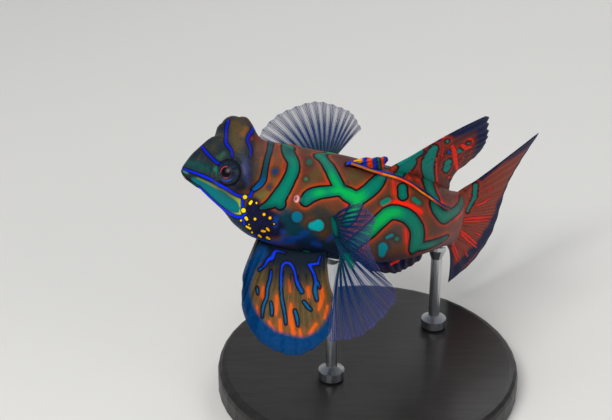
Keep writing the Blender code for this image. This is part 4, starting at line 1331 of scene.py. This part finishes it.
# Markings on the fins, by the names that the materials know them by
PELVIC_LINES = (
    ((259, 270, 0.9), (264, 266, 1.1), (268, 260, 1.4), (272, 258, 2), (275, 252, 1.4),
     (280, 252, 1.1), (286, 254, 0.7)),
    ((271, 271, 0.9), (270, 279, 1), (267.5, 288, 1.1), (266.5, 298, 1.1), (263, 307, 1.2),
     (262, 317, 0.9)),
    ((282, 300, 1.1), (281, 285, 1), (281.5, 272, 1), (283, 265, 1.2), (288, 263, 1.2),
     (292, 266, 1.1), (295, 273, 1), (296.5, 281, 1.1), (299, 287, 1.6), (302, 292, 1.5)),
    ((282, 300, 1.1), (284, 309, 1.1), (285.5, 318, 1), (286, 324, 0.7)),
    ((309, 265, 1.2), (319, 264, 1)),
    ((310, 266, 1.2), (314, 274, 1.3), (316, 283, 1.5), (315, 291, 1.5), (317, 300, 1.1)),
    ((318, 283, 0.9), (320, 288, 0.7)), ((271, 303, 1), (272, 310, 1.1), (272, 315, 0.9)),
    ((295, 311, 1.3), (297, 318, 1.3), (298, 326, 0.7)),
    ((304, 302, 1.1), (308, 307, 1.4), (311, 310, 0.9)), ((257, 288, 0.9), (257.5, 294, 0.6)),
    ((319, 262, 0.9), (321, 257, 0.7)),
)
PELVIC_MARKS = dict(
    line=PELVIC_LINES,
    margin=(((262, 252, 6), (250, 268, 6), (244, 285, 6.5), (243, 300, 8), (248, 315, 9),
             (256, 330, 12), (270, 342, 13), (285, 347, 13), (300, 349, 12), (315, 346, 12),
             (325, 335, 8), (333, 318, 5), (338, 300, 4), (338, 280, 4)),),
    lick=(((263, 287, 0.9), (262, 297, 1.3)), ((257, 306, 0.8), (257, 315, 0.8)),
          ((277, 296, 0.8), (276.5, 306, 1.3), (276, 315, 0.8)), ((269, 322, 1), (274, 332, 1.4)),
          ((280, 320, 1.2), (281, 333, 1.6)), ((291, 304, 1.2), (290.5, 318, 1.8), (294, 334, 1.8)),
          ((308, 288, 1.8), (309, 297, 1.2)), ((322, 289, 1.2), (322, 299, 2), (319, 310, 1)),
          ((316, 324, 1.2), (310, 334, 1.4)), ((328, 306, 0.8), (325, 318, 1)),
          ((300, 330, 0.8), (301, 338, 1.4)), ((287, 336, 1.2),), ((289, 280, 0.4), (290, 292, 0.8))))
TAIL_MARKS = dict(
    band=(((475, 185, 2.4), (474, 197, 2.2), (470, 204, 1.8), (467, 211, 1.4)),
          ((457, 224, 0.9), (456, 230, 0.7))),
    red=(((464, 219, 0.9), (470, 218, 1.2), (480, 217.5, 1.1), (491, 217, 0.7)),
         ((464, 221.5, 0.8), (478, 221, 0.9), (488, 220.5, 0.6)),
         ((461, 231, 1), (468, 236, 1.2), (476, 243, 0.9)),
         ((461, 234, 1), (468, 241, 1.1), (476, 247, 0.7)),
         ((452, 241, 0.9), (455, 248, 1.1), (458, 256, 0.9)),
         ((452, 247, 0.8), (455, 256, 1), (457, 261, 0.7)),
         ((475, 206, 0.9), (482, 203, 1), (490, 198, 0.7)), ((487, 192, 0.6), (492, 187, 0.6)),
         ((464, 249, 0.7), (467, 256, 0.8)), ((456, 219, 0.8), (462, 212, 0.8)),
         ((476, 233, 1), (480, 235, 0.8)), ((464, 190, 0.5), (468, 200, 0.5), (465, 208, 0.5))),
    blue=NOTHING,
    margin=(((540, 130, 5), (530, 141, 3.4), (520, 149, 2.4), (508, 158, 1.2)),
            ((512, 186, 5), (500, 205, 6), (497, 215, 6), (490, 228, 6), (480, 243, 6), (468, 256, 6),
             (457, 268, 7), (447, 278, 8), (442, 265, 3), (439, 250, 1.5))))
SECOND_MARKS = dict(
    band=BACK_BANDS + (((397, 174, 3.4), (405, 168, 4), (413, 161, 2.6)),
                       ((400, 163, 3), (410, 157, 4), (420, 151, 3)), ((459, 151, 2.8),),
                       ((448, 163, 4.2), (447, 168, 4.6)), ((447, 141, 1.8),), ((468, 143, 1.4),)),
    red=(((452, 146, 1.8), (454, 152, 2.6), (455, 160, 2.4), (457, 169, 1.8)),
         ((462, 145, 1.8), (466, 148, 2.2), (470, 147, 1.8)),
         ((468, 139, 0.9), (472, 139, 0.9), (473, 144, 0.8)), ((471, 151, 1), (468, 158, 0.9)),
         ((463, 157, 0.9), (460, 163, 0.9)), ((430, 143, 0.7), (440, 138, 0.7), (452, 137, 0.6)),
         ((474, 160, 0.9), (470, 164, 0.7)), ((436, 158, 0.8), (436, 170, 0.9), (435, 182, 0.9)),
         ((447, 177, 0.7), (456, 176, 0.8), (466, 167, 0.7)), ((443, 148, 0.9), (441, 158, 0.8)),
         ((409, 170, 0.9), (409, 180, 0.8))),
    blue=(((449, 152, 2),), ((455, 172, 0.8), (460, 170, 0.9), (464, 164, 0.7))),
    margin=(((434, 140, 1), (445, 135, 2.5), (460, 131, 5), (475, 125, 6.5), (483, 124, 9)),
            ((482, 132, 6), (482, 142, 5.5), (479, 150, 4.5), (474, 158, 2.5)),
            ((485, 118, 6), (488, 130, 6), (488, 144, 4))))
ANAL_MARKS = dict(
    band=NOTHING,
    red=(((391, 264, 1), (396, 261, 1.2), (399, 260, 0.8)), ((361, 263, 0.7), (363, 266, 0.6))),
    blue=(((366, 262, 1.2), (374, 262, 0.9)),),
    margin=(((355, 262, 3), (385, 262, 4), (402, 262, 4)),))
PECTORAL_MARKS = dict(
    blotch=(((333, 219, 3), (335, 226, 4), (337, 233, 2.5)), ((347, 256, 3), (352, 266, 2.5))))


def make_fins():
    """All fins but the first dorsal one. The right fins have the left ones' markings."""
    clear, clear_ray = clear_fin_material("clear_membrane", 0.0), clear_ray_material()
    shape = dict(slot="fin_clear", notch=0.012, ripple=0.08, thick=(0.22, 0.05),
                 pair=0.13, ray_size=(0.13, 0.035))
    known = make_fin("fin_pectoral_left", PECTORAL_NEAR, 1, clear, clear_ray,
                     marks=PECTORAL_MARKS, **shape)
    # the far fin's membrane: a darker, less clear copy of the clear one, painted shade
    far_shaded = clear_fin_material("far_shaded_membrane", 0.4)
    make_fin("fin_pectoral_right", PECTORAL_FAR, -1, far_shaded, clear_ray, known=known, **shape)
    pelvic, pelvic_ray = pelvic_material(), pelvic_ray_material()
    shape = dict(slot="fin", notch=0.01, ripple=0.16, pair=0.12, ray_size=(0.11, 0.045))
    known = make_fin("fin_pelvic_left", PELVIC, 1, pelvic, pelvic_ray, marks=PELVIC_MARKS, **shape)
    make_fin("fin_pelvic_right", PELVIC, -1, pelvic, pelvic_ray, known=known, **shape)
    shape = dict(slot="fin", ripple=0.16)
    tail = dark_fin_material("tail_membrane", tone(148, 62, 42), 0.6, 0.9)
    tail_ray = dark_ray_material("tail_fin_ray", tone(136, 48, 36), 0.9)
    make_fin("fin_caudal", CAUDAL, 1, tail, tail_ray, root=stalk_root, sunk=1.6, thick=(0.5, 0.08),
             pair=0.12, marks=TAIL_MARKS, **shape)
    second = dark_fin_material("second_dorsal_membrane", tone(96, 38, 30), 0.4, 0.5)
    second_ray = dark_ray_material("second_dorsal_ray", tone(110, 38, 30), 0.5)
    make_fin("fin_dorsal_second", DORSAL_SECOND, 1, second, second_ray, marks=SECOND_MARKS, **shape)
    anal = dark_fin_material("anal_membrane", tone(34, 34, 52), 0.15, 0.4)
    anal_ray = dark_ray_material("anal_ray", tone(28, 36, 70), 0.4)
    make_fin("fin_anal", ANAL, 1, anal, anal_ray, marks=ANAL_MARKS, **shape)


# The filament's strands: how far beside its path, radius, number in the material, how far sunk
STRANDS = ((0.19, 0.17, 0.0, 0), (-0.19, 0.17, 1.0, 0), (0.0, 0.1, 0.5, 0.1))
FIRST_STRIPES = (
    (tone(0, 52, 196), 0.1,
     (((347, 157, 3), (352, 156, 2.5)), ((364.5, 154, 1.8), (364.5, 168, 1.8)),
      ((374.4, 154, 1.6), (374.6, 169, 1.4)), ((345, 161, 1.6), (352, 162, 1.4)),
      ((385, 154, 0.9), (385, 166, 0.9)))),
    (tone(250, 170, 20), 0.1, (((353, 160, 1.2), (360.5, 160, 1.8)),)),
    (tone(238, 66, 12), 0.1,
     (((369.5, 153, 2.6), (369.5, 169, 2.6)), ((382.3, 153, 1.4), (382.3, 167, 1.2)))),
    (tone(0, 104, 88), 0.1, (((378.4, 153, 0.8), (378.4, 168, 0.8)),)),
)


def make_first_dorsal():
    """The folded first dorsal fin."""
    grid, flat, out = fin_grid(DORSAL_FIRST, 1, skin_root, 0.75, 0.3, 0.06)
    sheet = Sheet(grid, False, HIDE_FOLDED)
    points, faces = membrane_shell(sheet, 0.3 - 0.2 * ease(out, 0.0, 0.5), flat)
    colours = painted(sheet, np.array(tone(40, 26, 40)) * np.ones(grid.shape), FIRST_STRIPES)
    paint = Paint("first_dorsal_membrane")
    colour = paint.mix(paint.noise(0.3, 3).ease(0.35, 0.8) * 0.4, paint.colours("ground"), INK)
    material = paint.finish(Base_Color=colour, Roughness=0.45, Specular_IOR_Level=0.12,
                            Normal=paint.grain(0.25, 0.04, 0.7))
    ground = np.tile(colours.reshape(-1, 3), (2, 1))
    membrane = make_piece("fin_dorsal_first", points, faces, material, ground=ground)
    hand_over(membrane, "fin", "fin_dorsal_first")


def filament_material():
    paint = Paint("filament")
    out, strand = paint.fields("out", "strand")
    stripes = paint.noise(1.6, 1).ease(0.42, 0.58)
    middle = out.ease(0.33, 0.42) * out.ease(0.62, 0.55) * 0.8
    warm = paint.coats(
        tone(232, 60, 14),
        (stripes, tone(226, 130, 20)),
        (out.ease(0.25, 0.18) * 0.75, tone(136, 92, 40)),
        (middle, SCARLET))
    colour = paint.coats(
        tone(12, 44, 150),
        (stripes, tone(10, 24, 70)),
        (strand.ease(0.2, 0.3), INK),
        (strand.ease(0.7, 0.8), warm),
        (out.ease(0.72, 0.86) * 0.85, tone(26, 28, 60)))
    return paint.finish(Base_Color=colour, Roughness=0.42, Specular_IOR_Level=0.15, Normal=paint.grain())


def make_filament():
    """The long filament: two bright strands with a dark one between and below them."""
    share = np.linspace(0, 1, FILAMENT_POINTS)
    station, degrees = (row_value(FILAMENT_PATH, k, share) for k in (0, 1))
    path, out_way = skin_place(station, degrees, FILAMENT_LIFT + 0.3)
    across = unit(np.cross(np.gradient(path, axis=0), out_way))
    across = across * np.sign((across * SIGHT_UP).sum(-1, keepdims=True))
    lines = []
    for offset, size, strand, sunk in STRANDS:
        wave = offset + 0.03 * np.sin(share * 21 + strand * 4)
        lift = 0.04 * np.cos(share * 17 + strand * 5) - sunk
        points = path + wave[:, None] * across + lift[:, None] * out_way
        radii = size * (1 - 0.45 * share) * (1 - 0.8 * ease(share, 0.94, 1.0))
        lines.append((points, radii, dict(strand=np.full(FILAMENT_POINTS, strand), out=share)))
    hand_over(make_rays("filament", lines, filament_material(), sides=10), "fin")


def eye_material():
    paint = Paint("eye")
    off, turn = paint.fields("off", "turn")
    fine = paint.noise(0.12, 3)
    wander = paint.noise(0.5, 2) - 0.5
    spokes = paint.add("ShaderNodeCombineXYZ", {}, turn * 0.14, off * 0.01)
    streaks = paint.add("ShaderNodeTexNoise", dict(noise_dimensions="2D"), spokes,
                        Scale=1.0, Detail=3.0)
    colour = paint.mix(streaks.ease(0.4, 0.66) * 0.7, tone(12, 18, 30), tone(36, 46, 66))
    colour = paint.coats(
        colour,
        (off.ease(40, 66), tone(26, 34, 38)),
        (fine.ease(0.5, 0.75) * 0.4, tone(26, 66, 80)),
        ((off + wander * 8).ease(58, 74) * 0.7, tone(60, 50, 38)))
    arc = off.ease(30, 33) * off.ease(40, 37)
    lower = turn.ease(-172, -155) * turn.ease(-85, -105)
    colour = paint.mix(arc * lower * 0.9, colour, tone(14, 70, 168))
    ring = off.ease(20, 22) * off.ease(27, 24)
    fore = turn.ease(-48, -26) * turn.ease(78, 54)
    low = turn.ease(-158, -142) * turn.ease(-92, -108)
    colour = paint.coats(
        colour,
        (ring * (0.04 + fore * 0.85 + low * 0.6), tone(190, 52, 62)),
        (off.ease(22, 20), tone(2, 2, 5)))
    height = fine * off.ease(22, 30)
    return paint.finish(Base_Color=colour, Roughness=0.35, Specular_IOR_Level=0.1, Coat_Weight=0.5,
                        Coat_Roughness=0.02, Coat_IOR=1.25, Normal=paint.bump(height, 0.02, 0.6))


def make_eyes():
    """Two eyes. Their points keep two angles: off the gaze, and round it from forwards up."""
    material = eye_material()
    station, out, up = eye_centre()
    up_way = body_frame(station)[2]
    for side, label in ((1, "left"), (-1, "right")):
        facing = gaze_way(side)
        above = unit(up_way - (up_way @ facing) * facing)
        beside = np.cross(facing, above)
        off = np.radians(np.linspace(0, 180, EYE_RINGS))
        turn = np.arange(EYE_SIDES) * 360 / EYE_SIDES
        spoke = np.radians(turn)[:, None]
        round_way = np.sin(spoke) * above + np.cos(spoke) * beside
        dome = EYE_RADIUS * (1 + 0.03 * bump(off, 0.5))
        grid = (body_place(station, side * out, up) + (dome * np.cos(off))[:, None, None] * facing
                + (dome * np.sin(off))[:, None, None] * round_way)
        rows = len(grid) - 2
        points = np.concatenate([grid[1:-1].reshape(-1, 3), [grid[0, 0], grid[-1, 0]]])
        faces = grid_faces(rows, EYE_SIDES, True) + end_faces(rows, EYE_SIDES)
        offs = np.concatenate([np.repeat(np.degrees(off[1:-1]), EYE_SIDES), [0, 180]])
        around = turn if side > 0 else 180 - turn
        turns = np.concatenate([np.tile((around + 180) % 360 - 180, rows), [0, 0]])
        eye = make_piece("eye_" + label, points, faces, material, off=offs, turn=turns)
        hand_over(eye, "eye", "eye_" + label)


def finish_stand():
    """Better finishes for the stand, which keeps its CAD shape."""
    paint = Paint("stand_lacquer")
    grain = paint.noise(0.8, 4, 0.6, stretch=(0.12, 1, 1))
    cloud = paint.noise(6, 3)
    colour = paint.mix(grain.ease(0.35, 0.7) * 0.6, tone(26, 25, 26), tone(44, 40, 38))
    lacquer = paint.finish(Base_Color=colour, Roughness=0.42 + cloud * 0.14, Specular_IOR_Level=0.3,
                           Coat_Weight=0.15, Coat_Roughness=0.2, Normal=paint.bump(grain, 0.03, 0.5))
    paint = Paint("stand_steel")
    brushed = paint.noise(0.12, 4, 0.7, stretch=(1, 1, 0.04))
    colour = paint.mix(brushed.ease(0.3, 0.7), tone(176, 178, 182), tone(206, 208, 210))
    steel = paint.finish(Base_Color=colour, Metallic=1.0, Roughness=0.22 + brushed * 0.16,
                         Normal=paint.bump(brushed, 0.01, 0.5))
    finishes = dict(stand_base=lacquer, stand_rod_front=steel, stand_rod_rear=steel)
    for name, material in finishes.items():
        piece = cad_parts[name]
        if not piece.material_slots:
            piece.data.materials.append(material)
        for slot in piece.material_slots:
            slot.material = material


def make_room():
    """A plain pale floor that curves up behind, and soft studio light."""
    paint = Paint("floor")
    colour = paint.mix(paint.noise(60, 2) * 0.3, tone(224, 222, 217), tone(217, 216, 211))
    material = paint.finish(Base_Color=colour, Roughness=0.75)
    front, back = FLOOR_REACH
    profile = [(front, 0), (back, 0)]
    for turn in np.radians(np.arange(6, 91, 6)):
        profile.append((back + FLOOR_CURVE * math.sin(turn), FLOOR_CURVE * (1 - math.cos(turn))))
    profile.append((back + FLOOR_CURVE, WALL_TOP))
    points = [(x, y, z) for y, z in profile for x in (-FLOOR_HALF, FLOOR_HALF)]
    make_piece("floor", points, grid_faces(len(profile), 2, False), material)
    world = bpy.data.worlds.new("room")
    world.use_nodes = True
    sky = world.node_tree.nodes["Background"]
    sky.inputs["Color"].default_value = SKY
    sky.inputs["Strength"].default_value = SKY_STRENGTH
    bpy.context.scene.world = world
    for name, place, size, power in LAMPS:
        lamp = bpy.data.lights.new(name, "AREA")
        lamp.size = size * MM
        lamp.energy = power
        light = bpy.data.objects.new(name, lamp)
        bpy.context.scene.collection.objects.link(light)
        light.location = Vector(place) * MM
        away = Vector(LIT_POINT) * MM - light.location
        light.rotation_euler = away.to_track_quat("-Z", "Y").to_euler()
    bpy.context.scene.view_settings.view_transform = "Standard"


make_skin()
make_fins()
make_first_dorsal()
make_filament()
make_eyes()
finish_stand()
make_room()
